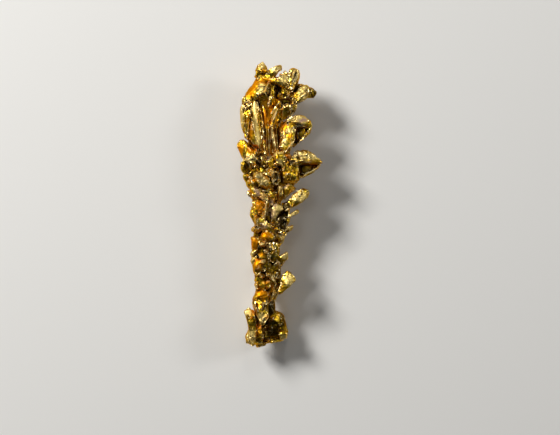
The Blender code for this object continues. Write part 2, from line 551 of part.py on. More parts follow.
def crumbs():
    """Small crystals on the back of the trunk, spread by the golden angle and leaning to the crown."""
    dice = random.Random(CRUMB_SEED)
    golden_angle = math.pi * (3 - math.sqrt(5))
    low, high = TRUNK[1][0], TRUNK[-2][0]
    made = []
    for number in range(CRUMB_COUNT):
        y = low + (high - low) * (number + 0.5) / CRUMB_COUNT
        x, z, half_width, half_depth = trunk_at(y)
        turn = math.pi + (number * golden_angle) % math.pi
        out = Vector((math.cos(turn), 0, math.sin(turn)))
        skin = Vector((x + half_width * out.x, y, z + half_depth * out.z))
        lean = Vector((out.x, -CRUMB_LEAN + dice.uniform(-0.5, 0.5), out.z)).normalized()
        length = dice.uniform(*CRUMB_LENGTH)
        root = skin - lean * length * CRUMB_SINK - out
        width = dice.uniform(*CRUMB_WIDTH)
        form = dice.choice(("knob", "blade", "leaf", "block"))
        facing = (dice.uniform(-1, 1), -1, dice.uniform(-1, 1))
        tip = root + lean * length
        made.append(bar(f"crumb_{number}", form, root, tip, width, width * 0.85, facing))
    return made


def fuse(body, helpers):
    """Joins the helpers to the body as one skin, and drops any void sealed in between them."""
    group = bpy.data.collections.new("grown_together")
    bpy.context.scene.collection.children.link(group)
    bpy.context.scene.collection.objects.link(body)
    for helper in helpers:
        group.objects.link(helper)
    union = body.modifiers.new("grown_together", "BOOLEAN")
    union.operation = "UNION"
    union.operand_type = "COLLECTION"
    union.collection = group
    union.solver = "EXACT"
    bpy.context.view_layer.update()
    graph = bpy.context.evaluated_depsgraph_get()
    fused = bpy.data.meshes.new_from_object(body.evaluated_get(graph))
    body.modifiers.clear()
    body.data = fused
    for helper in helpers:
        bpy.data.objects.remove(helper)
    bpy.data.collections.remove(group)
    keep_outer_skin(fused)


def keep_outer_skin(mesh):
    """Deletes every part of the mesh except the one with the most faces, which is the outer skin."""
    bm = bmesh.new()
    bm.from_mesh(mesh)
    left = set(bm.faces)
    skins = []
    while left:
        skin = {left.pop()}
        edge_of_search = list(skin)
        while edge_of_search:
            face = edge_of_search.pop()
            near = {other for edge in face.edges for other in edge.link_faces} & left
            left -= near
            skin |= near
            edge_of_search.extend(near)
        skins.append(skin)
    outer = max(skins, key=len)
    inner = [face for skin in skins if skin is not outer for face in skin]
    bmesh.ops.delete(bm, geom=inner, context="FACES")
    bmesh.ops.dissolve_limit(bm, angle_limit=SAME_FACET, verts=bm.verts, edges=bm.edges)
    bmesh.ops.triangulate(bm, faces=bm.faces)
    bm.to_mesh(mesh)
    bm.free()


def centre_over_origin(body):
    """Slides the nugget so that the middle of its box is over the origin. Its height stays as it is."""
    xs = [corner[0] for corner in body.bound_box]
    ys = [corner[1] for corner in body.bound_box]
    body.data.transform(Matrix.Translation((-(min(xs) + max(xs)) / 2, -(min(ys) + max(ys)) / 2, 0)))


def main():
    clear_scene()
    nugget = trunk_object()
    drawn = [*CROWN, *GREAT_BLADE, *RIBS, *LEFT, *RIGHT, *FRONT, *FOOT, *BACK, *crumbs()]
    helpers = [plate_object(item) for item in drawn if isinstance(item, Plate)]
    helpers += [bar_object(item) for item in drawn if isinstance(item, Bar)]
    helpers += [resting_object(*face) for face in RESTING]
    fuse(nugget, helpers)
    centre_over_origin(nugget)
    nugget.data.materials.clear()
    nugget.data.materials.append(gold_material())


main()
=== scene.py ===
"""A crystallised gold nugget lying on a pale floor, seen from straight above."""

import math
from collections import namedtuple
from itertools import product

import bpy
import numpy as np
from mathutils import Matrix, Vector


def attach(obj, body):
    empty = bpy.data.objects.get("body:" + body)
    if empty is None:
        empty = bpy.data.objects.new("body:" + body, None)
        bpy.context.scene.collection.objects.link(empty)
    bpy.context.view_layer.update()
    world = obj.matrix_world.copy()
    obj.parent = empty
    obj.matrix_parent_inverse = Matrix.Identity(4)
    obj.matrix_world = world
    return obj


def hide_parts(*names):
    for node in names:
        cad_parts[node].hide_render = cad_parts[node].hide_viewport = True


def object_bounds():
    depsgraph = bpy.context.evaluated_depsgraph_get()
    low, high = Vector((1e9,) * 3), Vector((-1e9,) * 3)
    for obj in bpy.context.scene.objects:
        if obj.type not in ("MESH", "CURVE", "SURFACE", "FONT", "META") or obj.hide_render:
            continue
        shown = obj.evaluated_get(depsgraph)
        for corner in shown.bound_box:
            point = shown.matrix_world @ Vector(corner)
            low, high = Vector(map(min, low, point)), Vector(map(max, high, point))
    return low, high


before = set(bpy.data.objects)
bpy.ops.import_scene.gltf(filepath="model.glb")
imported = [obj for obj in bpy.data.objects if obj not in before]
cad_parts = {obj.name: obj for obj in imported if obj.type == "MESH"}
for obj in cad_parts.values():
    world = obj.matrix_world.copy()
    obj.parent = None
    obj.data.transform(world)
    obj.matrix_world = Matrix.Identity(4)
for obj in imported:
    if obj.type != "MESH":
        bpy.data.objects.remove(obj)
CAD_BOX = [list(corner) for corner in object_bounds()]

# The drawing is on a grid of squares: x to the right, y from crown to foot, z up from the floor. Its sheet
# fills the camera's frame, and the point that becomes the origin is near its middle.
GRID_MM = 0.15
FRAME_SQUARES = (560, 435)
DRAWING_MIDDLE = (279.75, 205.058)
MM = 0.001

# The trunk, from crown to foot: (y, middle x, middle z, half width, half depth).
TRUNK = (
    (77, 264, 36, 6, 6),
    (88, 267, 35, 13, 9),
    (104, 266, 30.5, 17, 9.5),
    (122, 264, 30, 17, 10.5),
    (142, 265, 30, 17, 10.5),
    (160, 266, 31, 17, 13.5),
    (178, 266, 31, 16, 14),
    (196, 266, 30, 14.5, 13),
    (214, 268, 29, 13, 13),
    (232, 268, 28, 14, 13),
    (250, 265, 28, 13, 12.5),
    (270, 266, 28, 13, 12),
    (288, 267.5, 28, 11.5, 11),
    (304, 264, 26, 10.5, 10),
    (322, 263, 22, 8, 10),
    (338, 262, 19, 6, 8),
)

# Profiles of a plate from the middle of its front, over its rim, to its back: (share of outline, of depth).
PLATE_FORMS = {
    "slab": ((0, -0.02), (0.5, 0.0), (0.78, 0.02), (0.93, 0.1), (1.0, 0.34), (0.88, 0.72),
             (0.72, 1.0), (0, 1.0)),
    "facet": ((0, -0.03), (0.6, 0.0), (0.84, 0.06), (1.0, 0.5), (1.06, 1.0), (0, 1.0)),
    "dome": ((0, -0.06), (0.34, 0.0), (0.6, 0.05), (0.86, 0.22), (1.0, 0.46), (0.9, 0.8),
             (0.76, 1.0), (0, 1.0)),
    "peak": ((0, -0.04), (0.22, 0.02), (0.62, 0.22), (0.94, 0.4), (1.0, 0.52), (0.66, 1.0), (0, 1.0)),
    "hopper": ((0, 0.54), (0.6, 0.55), (0.76, 0.12), (0.82, 0.0), (0.9, 0.0), (1.0, 0.3), (0.88, 0.72),
               (0.74, 1.0), (0, 1.0)),
    "pan": ((0, 0.2), (0.68, 0.2), (0.82, 0.04), (0.86, 0.0), (0.91, 0.01), (1.0, 0.3), (0.88, 0.72),
            (0.74, 1.0), (0, 1.0)),
}

# The size of a plate's front, as a share of its outline. Its apex stands this share of the depth above it,
# and this share of the way from its middle to its first corner.
FRONT_SIZE = {"slab": 0.74, "facet": 0.8, "dome": 0.5, "peak": 0.22, "hopper": 0.64, "pan": 0.74}
APEX_RISE = {"slab": 0.18, "facet": 0.2, "dome": 0.14, "peak": 0.2, "hopper": 0.0, "pan": 0.06}
APEX_SHIFT = 0.4

# Profiles of a bar from root to tip: (place along it, share of width, share of depth).
BAR_FORMS = {
    "blade": ((0, 0.5, 0.6), (0.5, 0.86, 0.9), (0.8, 1.0, 1.0), (0.94, 0.78, 0.7), (1.0, 0.4, 0.34)),
    "leaf": ((0, 0.5, 0.6), (0.5, 1.0, 1.0), (0.8, 0.66, 0.62), (1.0, 0.16, 0.2)),
    "block": ((0, 0.8, 0.8), (0.9, 1.0, 1.0), (1.0, 0.72, 0.7)),
    "knob": ((0, 0.7, 0.7), (0.6, 1.0, 1.0), (0.88, 0.8, 0.8), (1.0, 0.4, 0.4)),
    "rib": ((0, 1.0, 1.0), (0.93, 0.68, 0.68), (1.0, 0.44, 0.44)),
}

# A crystal's name says which one it is of those that the solid is joined from.
Plate = namedtuple("Plate", "name form z depth lean outline")
Bar = namedtuple("Bar", "name form root tip width depth facing")


def plate(name, form, z, depth, lean, *outline):
    """A crystal drawn by its outline, its front at height z and leaning (rise to the right, to the foot)."""
    return Plate(name, form, z, depth, lean, outline)


def bar(name, form, root, tip, width, depth, facing=(0, 0, 1)):
    """A crystal from root to tip, whose flat face looks towards facing."""
    return Bar(name, form, root, tip, width, depth, facing)


CROWN = (
    plate("crown_knob", "peak", 46, 14, (0, 0),
        (263, 61), (266.5, 66), (268, 71), (265, 77), (258, 77), (254.5, 71), (257, 65)),
    plate("crown_bead", "dome", 45, 8, (0, 0), (256, 72), (259, 75), (256.5, 78.5), (253.5, 76)),
    plate("crown_neck", "facet", 45, 13, (0.2, 0.2),
        (256, 75), (264, 73), (272, 77), (280, 79), (280, 86), (268, 87), (257, 82)),
    plate("crown_arm", "slab", 46, 11, (0.2, 0.1),
        (264, 76), (268.5, 70), (274, 66.5), (279, 67), (279, 72), (276, 76), (269, 79)),
    plate("crown_arm_end", "slab", 44, 9, (-0.3, 0),
        (276, 66), (280, 64.5), (282.5, 67), (281, 71), (277, 71)),
    plate("crown_saddle", "dome", 50, 12, (0.2, 0.1),
        (268, 80), (276, 78.5), (282, 77), (286.5, 80), (286.5, 87), (280, 88), (274, 85)),
    plate("crown_block", "slab", 48, 14, (0.1, 0.2),
        (278, 79), (280.5, 73), (285, 71), (289, 74), (289, 86), (282, 89)),
    plate("crown_tall_blade", "slab", 48, 14, (0, 0.2),
        (286, 87), (287, 76), (289, 70), (293, 67.5), (299, 70), (300.5, 74), (298, 83),
        (294, 92), (286, 96)),
    bar("crown_tall_rib_1", "rib", (285.5, 89, 48), (289.5, 71.5, 49), 2.6, 6),
    bar("crown_tall_rib_2", "rib", (289, 90, 49), (295, 70.5, 50), 4.4, 7),
    bar("crown_tall_rib_3", "rib", (293, 90, 48), (299, 73, 48), 2.4, 6),
    plate("crown_web", "facet", 42, 12, (-0.1, -0.1),
        (286, 86), (294, 84), (303, 83.5), (306, 86), (300, 93), (293, 100), (286, 98)),
    plate("crown_gable", "slab", 50, 14, (0.1, 0.25),
        (290, 101), (294, 94), (299, 88.5), (305, 84), (309, 87), (310, 94), (306, 100),
        (299, 104), (291, 105)),
    plate("crown_gable_spur", "slab", 42, 9, (-0.2, 0),
        (306, 88), (312, 87), (317.5, 92.5), (314, 98), (307, 98)),
    bar("crown_gable_edge", "rib", (292, 102, 50), (308, 92, 52), 3, 6),
    plate("shoulder", "facet", 45, 14, (0.4, 0.15),
        (256, 79), (264, 79), (271, 83), (266, 91), (258, 99), (251, 104), (243, 107),
        (241.5, 99), (249, 90)),
    bar("shoulder_edge", "rib", (270, 82, 48), (264, 94, 49), 3.5, 6),
    bar("shoulder_edge_foot", "rib", (264, 92, 48), (269, 100, 46), 3, 6),
    plate("crown_inner_left", "facet", 46, 12, (0, 0.1),
        (270, 84), (276, 84), (276, 93), (273, 107), (268, 108)),
    plate("crown_inner_right", "facet", 45, 10, (0.1, 0.2),
        (280, 86), (287, 88), (291, 93), (286, 99), (281, 100)),
    plate("crown_inner_bead", "dome", 48, 10, (0, 0),
        (279, 91.5), (283, 93), (283, 98), (279, 100), (276.5, 96)),
    bar("cave_lip_1", "rib", (271, 114, 45), (280, 101, 48), 3.6, 8),
    bar("cave_lip_2", "rib", (277, 112, 45), (293, 102, 45), 2.8, 6),
    plate("cave_leaf", "slab", 37, 8, (-0.2, 0),
        (277, 123), (278, 110), (286, 102), (294, 101), (298.5, 104.5), (294, 112), (287, 119)),
)

GREAT_BLADE = (
    plate("blade_rim", "slab", 42, 14, (0.5, 0),
        (240, 108), (243.5, 103), (247, 106), (247, 122), (246.5, 134), (242.5, 132),
        (240.5, 120)),
    bar("rim_barb_1", "rib", (242, 104, 42), (252, 98.5, 47), 2.2, 4),
    bar("rim_barb_2", "rib", (243, 108, 43), (251, 101.5, 47.5), 2, 4),
    bar("rim_barb_3", "rib", (245, 110, 44), (251, 105, 48), 2, 4),
    plate("blade_flank", "facet", 44, 10, (0.2, 0),
        (245, 109), (251, 107), (250, 122), (249, 141), (244, 137)),
    plate("great_blade", "slab", 52, 17, (0.3, 0.03),
        (254.5, 98.5), (258, 104), (258.5, 116), (259.5, 128), (262, 142), (261, 152),
        (258.5, 148), (256, 138), (253.5, 127), (251.3, 115), (250.5, 107)),
    plate("blade_hollow", "facet", 48.5, 14, (0.25, 0.1),
        (250.5, 112), (254, 122), (256, 136), (259, 148), (253, 147), (247.5, 138), (247, 124)),
    bar("blade_left_ridge", "rib", (247.5, 140, 46), (250.5, 109, 50.5), 1.8, 6),
    bar("blade_keel", "rib", (262.5, 153, 47), (258.5, 111, 50), 2.2, 8),
    bar("blade_second_keel", "rib", (264.5, 154, 45), (260.8, 110, 49), 2.2, 8),
    plate("blade_pommel", "dome", 50, 10, (0, 0),
        (255, 148), (260, 148), (262, 152), (258, 155), (254.5, 153)),
)

RIBS = (
    plate("rib_lens", "slab", 46, 10, (0.2, 0),
        (262, 103), (266, 109), (268.5, 120), (269, 134), (266, 138), (263.5, 126)),
    bar("rib_1", "rib", (266.4, 155, 42.5), (266.5, 128, 47), 3.4, 9),
    bar("rib_2", "rib", (269.5, 152, 42), (269, 126, 46), 2.2, 9),
    bar("rib_3_head", "rib", (271, 126, 48), (278, 108, 51), 5.4, 10, (0.15, 0, 1)),
    bar("rib_3", "rib", (274.5, 153, 43), (271.5, 121, 48), 4.4, 9, (0.15, 0, 1)),
    bar("rib_4", "rib", (277, 151, 42), (275.5, 124, 46), 2.4, 8, (0.3, 0, 1)),
    bar("rib_5", "rib", (281, 150, 38), (282, 120, 40), 3.4, 8, (0.3, 0, 1)),
)

LEFT = (
    plate("left_ear", "slab", 44, 13, (0.3, 0.1),
        (236, 145.5), (238.5, 141), (243, 138.5), (248, 143), (252, 153), (248, 160), (243, 159)),
    plate("left_ear_root", "facet", 47, 12, (0.2, 0.1),
        (247, 145), (254, 149), (261, 155), (256, 160), (247, 158)),
    plate("left_hood", "slab", 50, 10, (0.1, 0),
        (241.5, 161), (247, 157.5), (252, 155), (256.5, 158), (256, 164), (249, 162)),
    plate("left_hood_bead", "dome", 50, 9, (0, 0),
        (252, 162), (256, 161.5), (257.5, 165), (254, 167.5), (251, 165.5)),
    plate("left_bowl", "slab", 42, 13, (0.1, -0.3),
        (240, 163), (244, 160), (252, 162), (253, 172), (247, 178), (241, 171)),
    plate("left_nodule_1", "dome", 43, 9, (0, 0),
        (245, 183), (248, 179.5), (252, 182), (251, 188), (247, 187)),
    plate("left_nodule_2", "dome", 42, 9, (0, 0),
        (245.5, 193), (248, 189.5), (252, 191), (252, 197.5), (248.5, 197)),
    plate("left_knuckle", "facet", 46, 10, (0, 0),
        (250, 176), (255, 179), (260, 186), (256, 191), (250, 188)),
)

RIGHT = (
    plate("right_upper_body", "dome", 48, 18, (0.1, 0),
        (279, 127), (284, 121.5), (291, 119), (297, 121), (296, 132), (295, 142), (290, 151),
        (282, 151), (279.5, 140)),
    plate("right_upper_cheek", "slab", 51, 10, (0, 0.1),
        (280.5, 147), (283, 137), (289, 130.5), (295, 127), (296, 140), (291, 150), (284, 152)),
    plate("right_upper_roof", "slab", 48, 11, (0, 0.15),
        (286, 121.5), (292, 118), (298.5, 114), (305, 117), (311, 120.5), (313, 127),
        (306, 127), (296, 125)),
    plate("right_upper_hopper", "hopper", 46, 16, (-0.1, 0),
        (294, 123), (303, 122), (312.5, 126), (311, 131), (306, 137), (300, 143), (293, 149),
        (293, 136)),
    bar("right_upper_lip", "rib", (300, 141, 45), (311.5, 127.5, 46), 3, 6),
    plate("right_box", "slab", 52, 14, (0.1, 0.15),
        (272, 157), (276, 151.5), (283, 151), (286.5, 156), (285, 167), (277, 165)),
    bar("right_box_edge", "rib", (284.5, 168, 50), (273, 156, 53), 3, 6),
    plate("right_ball", "dome", 50, 12, (0, 0),
        (285, 153.5), (289, 152.5), (291.5, 156), (289.5, 160), (285.5, 160)),
    plate("right_beak_root", "facet", 46, 12, (0, 0.1),
        (285, 157), (293, 157), (301, 162), (300, 170), (290, 170)),
    plate("right_beak", "slab", 49, 11, (0.05, 0.3),
        (289, 160), (293, 154), (302, 150), (309, 151.5), (316, 155.5), (323.5, 163.5),
        (315, 164), (302, 164)),
    bar("right_beak_ridge", "rib", (290, 163, 49), (304, 160.5, 53), 3.4, 6),
    plate("right_beak_jaw", "hopper", 46, 14, (0, 0),
        (297, 165), (306, 162), (321, 164), (318.5, 168), (311, 174), (302, 178.5), (297, 176)),
    bar("right_beak_lip", "rib", (301, 178, 45), (317.5, 168, 46), 2.6, 5),
    plate("right_body", "dome", 49, 18, (0, 0),
        (280, 172), (288, 164), (297, 165), (301, 172), (299, 181), (293, 185.5), (281, 183)),
    plate("right_cheek", "facet", 48, 12, (0, 0),
        (281, 158), (289, 161), (291, 170), (286, 178), (282, 170)),
    plate("right_thorn", "slab", 44, 12, (-0.2, 0),
        (283, 187), (289, 182.5), (296.5, 188), (291, 193), (284, 200)),
    plate("right_paddle", "slab", 48, 12, (0.1, 0.25),
        (288.5, 202), (292, 195.5), (298, 191), (304, 188), (308.5, 190.5), (309.5, 195),
        (303, 202), (291, 208.5)),
    bar("right_paddle_root", "block", (280, 211, 36), (292, 202, 43), 9, 9),
    bar("right_needle_1", "block", (282, 222, 36), (298.5, 210.5, 43), 4.4, 6),
    bar("right_needle_2", "block", (280, 238, 34), (293.5, 225.5, 40), 4, 6),
    plate("right_needle_bead", "dome", 43, 6, (0, 0),
        (287, 226), (290.5, 226), (291, 229.5), (288, 230.5), (286, 229)),
    bar("right_needle_3", "rib", (279, 246, 34), (286.5, 234.5, 39), 3.6, 6),
    plate("right_fork", "slab", 45, 9, (0, 0),
        (277, 258), (283, 253.5), (287, 251), (289, 256), (286, 260.5), (279, 263)),
    bar("right_fork_tine", "rib", (275, 280, 36), (285, 258.5, 42), 4, 7),
    plate("right_kite", "slab", 45, 8, (0.15, 0.2),
        (282, 277), (287, 269.5), (292, 273.5), (296.5, 279.5), (289, 287), (280, 295),
        (278, 292), (282, 284)),
    bar("right_kite_edge", "rib", (279, 294, 40), (294.5, 281, 43), 3, 5),
    bar("right_kite_root", "blade", (268, 298, 31), (283, 286, 39), 7, 7),
)

FRONT = (
    plate("front_cluster", "dome", 54, 16, (0.1, 0.1),
        (252, 174), (257, 171), (265, 174), (271, 181), (271, 189), (264, 189), (256, 182)),
    plate("front_cluster_bead_1", "dome", 57, 12, (0.35, 0.3),
        (252.5, 174), (256, 171), (260.5, 172), (262.5, 176.5), (260, 180.5), (255.5, 179)),
    plate("front_cluster_bead_2", "dome", 56.5, 12, (0.35, 0.3),
        (261, 176), (265, 175), (269.5, 180), (271, 186), (267, 188), (262.5, 183)),
    plate("front_knob", "peak", 54, 12, (0, 0),
        (269, 171), (272, 168), (275.5, 171), (276, 180), (273, 181)),
    plate("front_cup", "hopper", 51, 10, (0, 0),
        (272, 172), (279, 171), (281, 180), (277, 186), (272, 183)),
    plate("front_saddle_1", "dome", 49, 12, (0, 0),
        (259, 158), (263, 155.5), (268, 160), (267, 167), (261, 166)),
    plate("front_saddle_2", "facet", 46, 8, (0, 0),
        (268, 158), (273, 160), (278, 168), (271, 170), (266, 167)),
    plate("front_post", "dome", 51, 14, (0, 0),
        (277.5, 187), (280, 183.5), (283, 187), (283, 198), (279, 203), (277.5, 195)),
    plate("front_patch", "facet", 48, 12, (0, 0),
        (251, 187), (260, 188), (264, 195), (258, 200), (251, 198)),
    plate("front_bean", "dome", 51, 12, (0, 0),
        (259, 193), (264, 191), (268, 196), (268, 202), (263, 200)),
    plate("front_niche", "facet", 47, 12, (0, 0),
        (269, 190), (276, 190), (277, 200), (270, 203), (267, 197)),
    plate("waist_window", "facet", 46, 12, (0.2, 0.1),
        (252, 200), (258, 198), (265, 201), (266, 209), (262, 217), (254, 216)),
    bar("waist_ridge", "rib", (264.5, 219, 46), (267, 198, 50.5), 2.6, 7),
    bar("waist_bar", "rib", (269, 209, 45), (275, 199, 49), 3, 6),
    plate("waist_blade", "slab", 48, 13, (0, 0),
        (271, 207), (276, 203), (282, 205), (284, 209), (277, 215), (275, 225), (271, 222)),
    plate("waist_hopper", "hopper", 43, 12, (-0.2, 0),
        (276, 212), (283, 207), (290, 208), (289, 220), (284, 236), (276, 230)),
    plate("waist_hopper_knob", "dome", 45, 12, (0, 0),
        (276.5, 218), (280, 216), (282.5, 219), (280, 222), (277, 221.5)),
    plate("waist_step_1", "facet", 46, 12, (0, 0),
        (253, 218), (259, 216), (266, 219), (267, 226), (257, 227)),
    plate("waist_step_2", "facet", 47, 12, (0, 0),
        (262, 223), (269, 222), (274, 228), (270, 233), (263, 229)),
    bar("waist_chevron", "rib", (268, 226, 44), (282, 240, 42), 5, 7),
    plate("waist_wedge", "slab", 43, 12, (0.3, 0),
        (250.5, 229), (256, 224.5), (260, 227), (258, 233), (252, 232)),
    plate("stem_swell", "facet", 47, 10, (0, 0),
        (260, 238), (262, 232), (268, 230), (274, 235), (275, 240), (266, 242)),
    plate("stem_left_face", "facet", 44, 10, (0.3, 0),
        (251, 237), (257, 236), (260, 241), (258, 251), (251.5, 249)),
    plate("stem_bean_1", "dome", 49, 8, (0, 0),
        (258.5, 244.5), (262, 242), (266.5, 243), (265, 246), (260, 247)),
    plate("stem_bean_2", "peak", 48, 9, (0, 0), (262.5, 249), (267, 248.5), (269, 254), (265, 254)),
    plate("stem_bean_3", "dome", 48, 8, (0, 0),
        (261, 260), (264, 258.5), (266, 261.5), (263.5, 264), (261, 263)),
    plate("stem_panel", "facet", 45.5, 12, (0.1, 0),
        (268, 243), (273, 240), (279, 243), (279, 258), (276, 265), (269, 262)),
    bar("stem_rib_1", "rib", (269, 265, 44), (269, 241, 47.5), 2.2, 6),
    bar("stem_rib_2", "rib", (274.5, 266, 43), (275, 241.5, 47), 2.2, 6),
    bar("stem_rib_3", "rib", (278.5, 261, 42), (279, 242, 45), 2.2, 6),
    plate("stem_flank", "slab", 36, 12, (-0.1, 0),
        (273, 262), (279.5, 262), (281, 275), (281, 287), (277, 294), (273, 290)),
    plate("stem_left_ledge_1", "slab", 41, 9, (0.3, 0),
        (249.5, 254), (252, 250.5), (257, 249), (257, 253), (252, 257.5)),
    plate("stem_left_ledge_2", "slab", 42, 9, (0.3, 0),
        (249.5, 261), (253, 257), (257, 256), (257, 260), (252, 265)),
    plate("stem_low_face", "facet", 45, 10, (0.3, 0),
        (253, 263), (257, 258), (262, 260), (262, 272), (257, 277), (253, 272)),
    plate("stem_bead_1", "dome", 46, 9, (0, 0),
        (266, 273), (269, 271), (272, 274), (270, 277.5), (266.5, 277)),
    plate("stem_bead_2", "dome", 46, 8, (0, 0),
        (259.5, 275), (262, 273.5), (265, 276), (262.5, 279), (260, 278)),
    bar("stem_crescent_1", "rib", (270, 276, 42), (276.5, 285, 43), 3.4, 6),
    bar("stem_crescent_2", "rib", (276, 282, 42), (273, 292, 41), 3.4, 6),
    bar("stem_block", "block", (268, 285, 37), (268.3, 284, 45), 5.5, 8, (0, 1, 0)),
    plate("stem_left_bead", "dome", 40, 8, (0, 0),
        (254, 284), (257, 280.5), (259, 285), (258, 290), (255, 289)),
    plate("ankle_face", "facet", 43, 10, (0.1, 0),
        (255.5, 292), (262, 289), (269, 292), (269, 300), (261, 303), (252, 300)),
    bar("ankle_bar_1", "rib", (269, 304, 37), (275, 291, 40), 3.8, 6),
    bar("ankle_bar_2", "rib", (271, 306, 34), (278, 293.5, 37), 3.2, 6),
    plate("ankle_flank", "slab", 35, 12, (-0.2, 0),
        (266, 301), (272, 299), (275.5, 305), (275, 314), (268, 318)),
)

FOOT = (
    plate("foot_shield", "slab", 44, 14, (0.25, 0.2),
        (251, 302), (257, 298), (267, 299), (268.5, 308), (269.5, 317), (262, 326.5),
        (257.5, 318)),
    bar("shield_edge", "rib", (253, 301, 44), (261, 322, 43), 3.4, 6),
    bar("shield_spine", "rib", (264, 302, 45), (262, 320, 44), 3.6, 6),
    plate("foot_prong", "slab", 40, 14, (0.15, 0),
        (243.5, 310.5), (250, 308), (255, 313), (257, 326), (256, 340), (252.5, 346.5),
        (248, 338), (249, 325)),
    plate("foot_heel", "dome", 36, 14, (0.1, 0),
        (245, 336), (248, 330), (253, 334), (254, 343), (250.5, 346.5), (246, 342)),
    bar("foot_prong_edge", "rib", (253, 346, 37), (246, 312, 43), 3.4, 6),
    plate("foot_joint", "facet", 35, 12, (0, 0),
        (255, 325), (262, 322), (264, 336), (262, 345), (254, 344)),
    plate("foot_block", "facet", 31, 22, (-0.2, -0.2),
        (262, 326), (270, 319), (284, 320), (287, 330), (287.5, 338), (274, 342), (263, 341)),
    plate("foot_block_top", "facet", 33, 18, (-0.2, 0),
        (266, 320), (271, 311), (280, 313), (284, 317), (285, 325), (268, 328)),
    plate("foot_block_corner", "slab", 35, 10, (0, 0),
        (278, 333), (283, 330), (287.5, 333), (287, 339), (280, 340)),
    bar("foot_block_sill", "rib", (260, 345, 26), (284, 340, 28), 5, 8),
    bar("foot_sole", "block", (257, 336, 24), (262, 347.5, 22), 12, 10),
)

# The hidden side: barbs that lean towards the crown and stay above the surface that the nugget lies on.
BACK = (
    bar("back_crown_blade_1", "leaf", (271, 100, 30), (279, 75, 20), 14, 10, (0.2, -0.5, -0.8)),
    bar("back_crown_blade_2", "blade", (260, 116, 28), (252, 92, 19), 14, 10, (-0.4, -0.5, -0.7)),
    bar("back_crown_blade_3", "blade", (276, 108, 30), (297, 90, 26), 12, 10, (0.4, -0.4, -0.8)),
    bar("back_blade_1", "leaf", (269, 133, 24), (270, 105, 7), 15, 10, (0, -0.6, -0.8)),
    bar("back_blade_2", "blade", (261, 160, 24), (251, 139, 8), 14, 10, (-0.3, -0.6, -0.7)),
    bar("back_blade_3", "leaf", (277, 165, 24), (289, 144, 8), 14, 10, (0.3, -0.6, -0.7)),
    bar("back_blade_4", "blade", (265, 186, 22), (262, 162, 6), 15, 10, (0, -0.6, -0.8)),
    bar("back_blade_5", "leaf", (276, 202, 22), (287, 182, 9), 13, 9, (0.3, -0.6, -0.7)),
    bar("back_blade_6", "leaf", (265, 218, 22), (259, 196, 8), 13, 9, (-0.2, -0.6, -0.7)),
    bar("back_blade_7", "blade", (273, 238, 21), (281, 217, 7), 12, 9, (0.2, -0.6, -0.7)),
    bar("back_blade_8", "leaf", (264, 254, 21), (258, 235, 8), 12, 8, (-0.2, -0.6, -0.7)),
    bar("back_blade_9", "leaf", (270, 274, 21), (276, 254, 8), 11, 8, (0.2, -0.6, -0.7)),
    bar("back_blade_10", "blade", (264, 294, 20), (258, 276, 9), 11, 8, (-0.2, -0.6, -0.7)),
    bar("left_low_blade_1", "blade", (256, 141, 26), (243, 118, 26), 12, 9, (-0.9, 0, 0.1)),
    bar("left_low_blade_2", "blade", (254, 190, 26), (245, 172, 24), 11, 9, (-0.9, 0, 0.1)),
    bar("left_low_blade_3", "leaf", (256, 224, 24), (251, 206, 22), 9, 7, (-0.9, 0, 0.1)),
    bar("right_low_blade_1", "leaf", (278, 143, 28), (303, 128, 27), 14, 10, (0.3, 0.4, 0.6)),
    bar("right_low_blade_2", "blade", (278, 184, 28), (306, 166, 26), 13, 10, (0.2, 0.4, 0.7)),
    bar("right_low_blade_3", "leaf", (277, 229, 25), (290, 214, 22), 11, 8, (0.3, 0.4, 0.6)),
)

# Three back crystals, two under the crown and one under the foot, lean down to the surface and end there in
# a flat face: (outline of the flat face, how far the root lies from it in x and y, height of the root).
RESTING = (
    (((247, 118), (253, 113), (260, 116), (261, 124), (254, 128), (248, 125)), (6, 16), 25),
    (((281, 123), (288, 117), (294, 119), (294, 126), (287, 131), (282, 130)), (-9, 15), 26),
    (((266, 326), (272, 321), (280, 323), (282, 330), (275, 335), (267, 333)), (-2, 4), 16),
)
# They are thickest this share of the way up, by this much.
RESTING_SHOULDER = 0.4
RESTING_SWELL = 1.3

CRYSTALS = (*CROWN, *GREAT_BLADE, *RIBS, *LEFT, *RIGHT, *FRONT, *FOOT, *BACK)

# Relief of a plate's front: spacing and height of its growth lines and height of its ledges, in grid squares,
# and how many ledges there are from middle to rim. It ends at a share of the outline, after a steep fade.
LINE_SPACING = (2.6, 4.2)
LINE_HEIGHT = (0.1, 0.5)
LEDGE_HEIGHT = (0.0, 0.5)
LEDGE_COUNT = (2.5, 4.5)
HOLLOW_FACE_CALM = 0.2
RELIEF_END = 0.92
RELIEF_FADE = 6
# How much depth counts when points are spread along a plate's profile, and the depth where its back begins.
DEPTH_WEIGHT = 0.6
BACK_FROM = 0.6

# Half width of a bar's flat top, as a share of the bar's. Its beads: how much they swell, and their lengths.
RIB_TOP = 0.2
BAR_TOP = 0.56
BEAD_SWELL = 0.05
BEAD_LENGTHS = ((0.8, 1.6), (1.7, 3.1))
BAR_END_SIZE = 0.02

# Seeded small crystals on the fronts: how many, their half width in grid squares, the power that hollows
# their faces, how much they are stretched and lean, and the way that they grow, up and towards the crown.
GRAINS = 350
GRAIN_SIZE = (0.8, 1.9)
GRAIN_POWER = 1.7
GRAIN_STRETCH = (0.7, 1.3)
GRAIN_LEAN = 0.5
GRAIN_WAY = (0.0, -0.3, 1.0)
GRAIN_SINK = 0.3
# Places round an outline to choose a seat from.
SEAT_STEPS = 200

# Rows and columns of the grids that the surfaces are worked out on.
PLATE_GRID = (40, 84)
BAR_GRID = (30, 24)
TRUNK_GRID = (150, 48)
REST_GRID = (20, 48)
GRAIN_GRID = (7, 12)

VOXEL_MM = 0.09
MOST_TRIANGLES = 190000
BOX_GAP_MM = 0.002

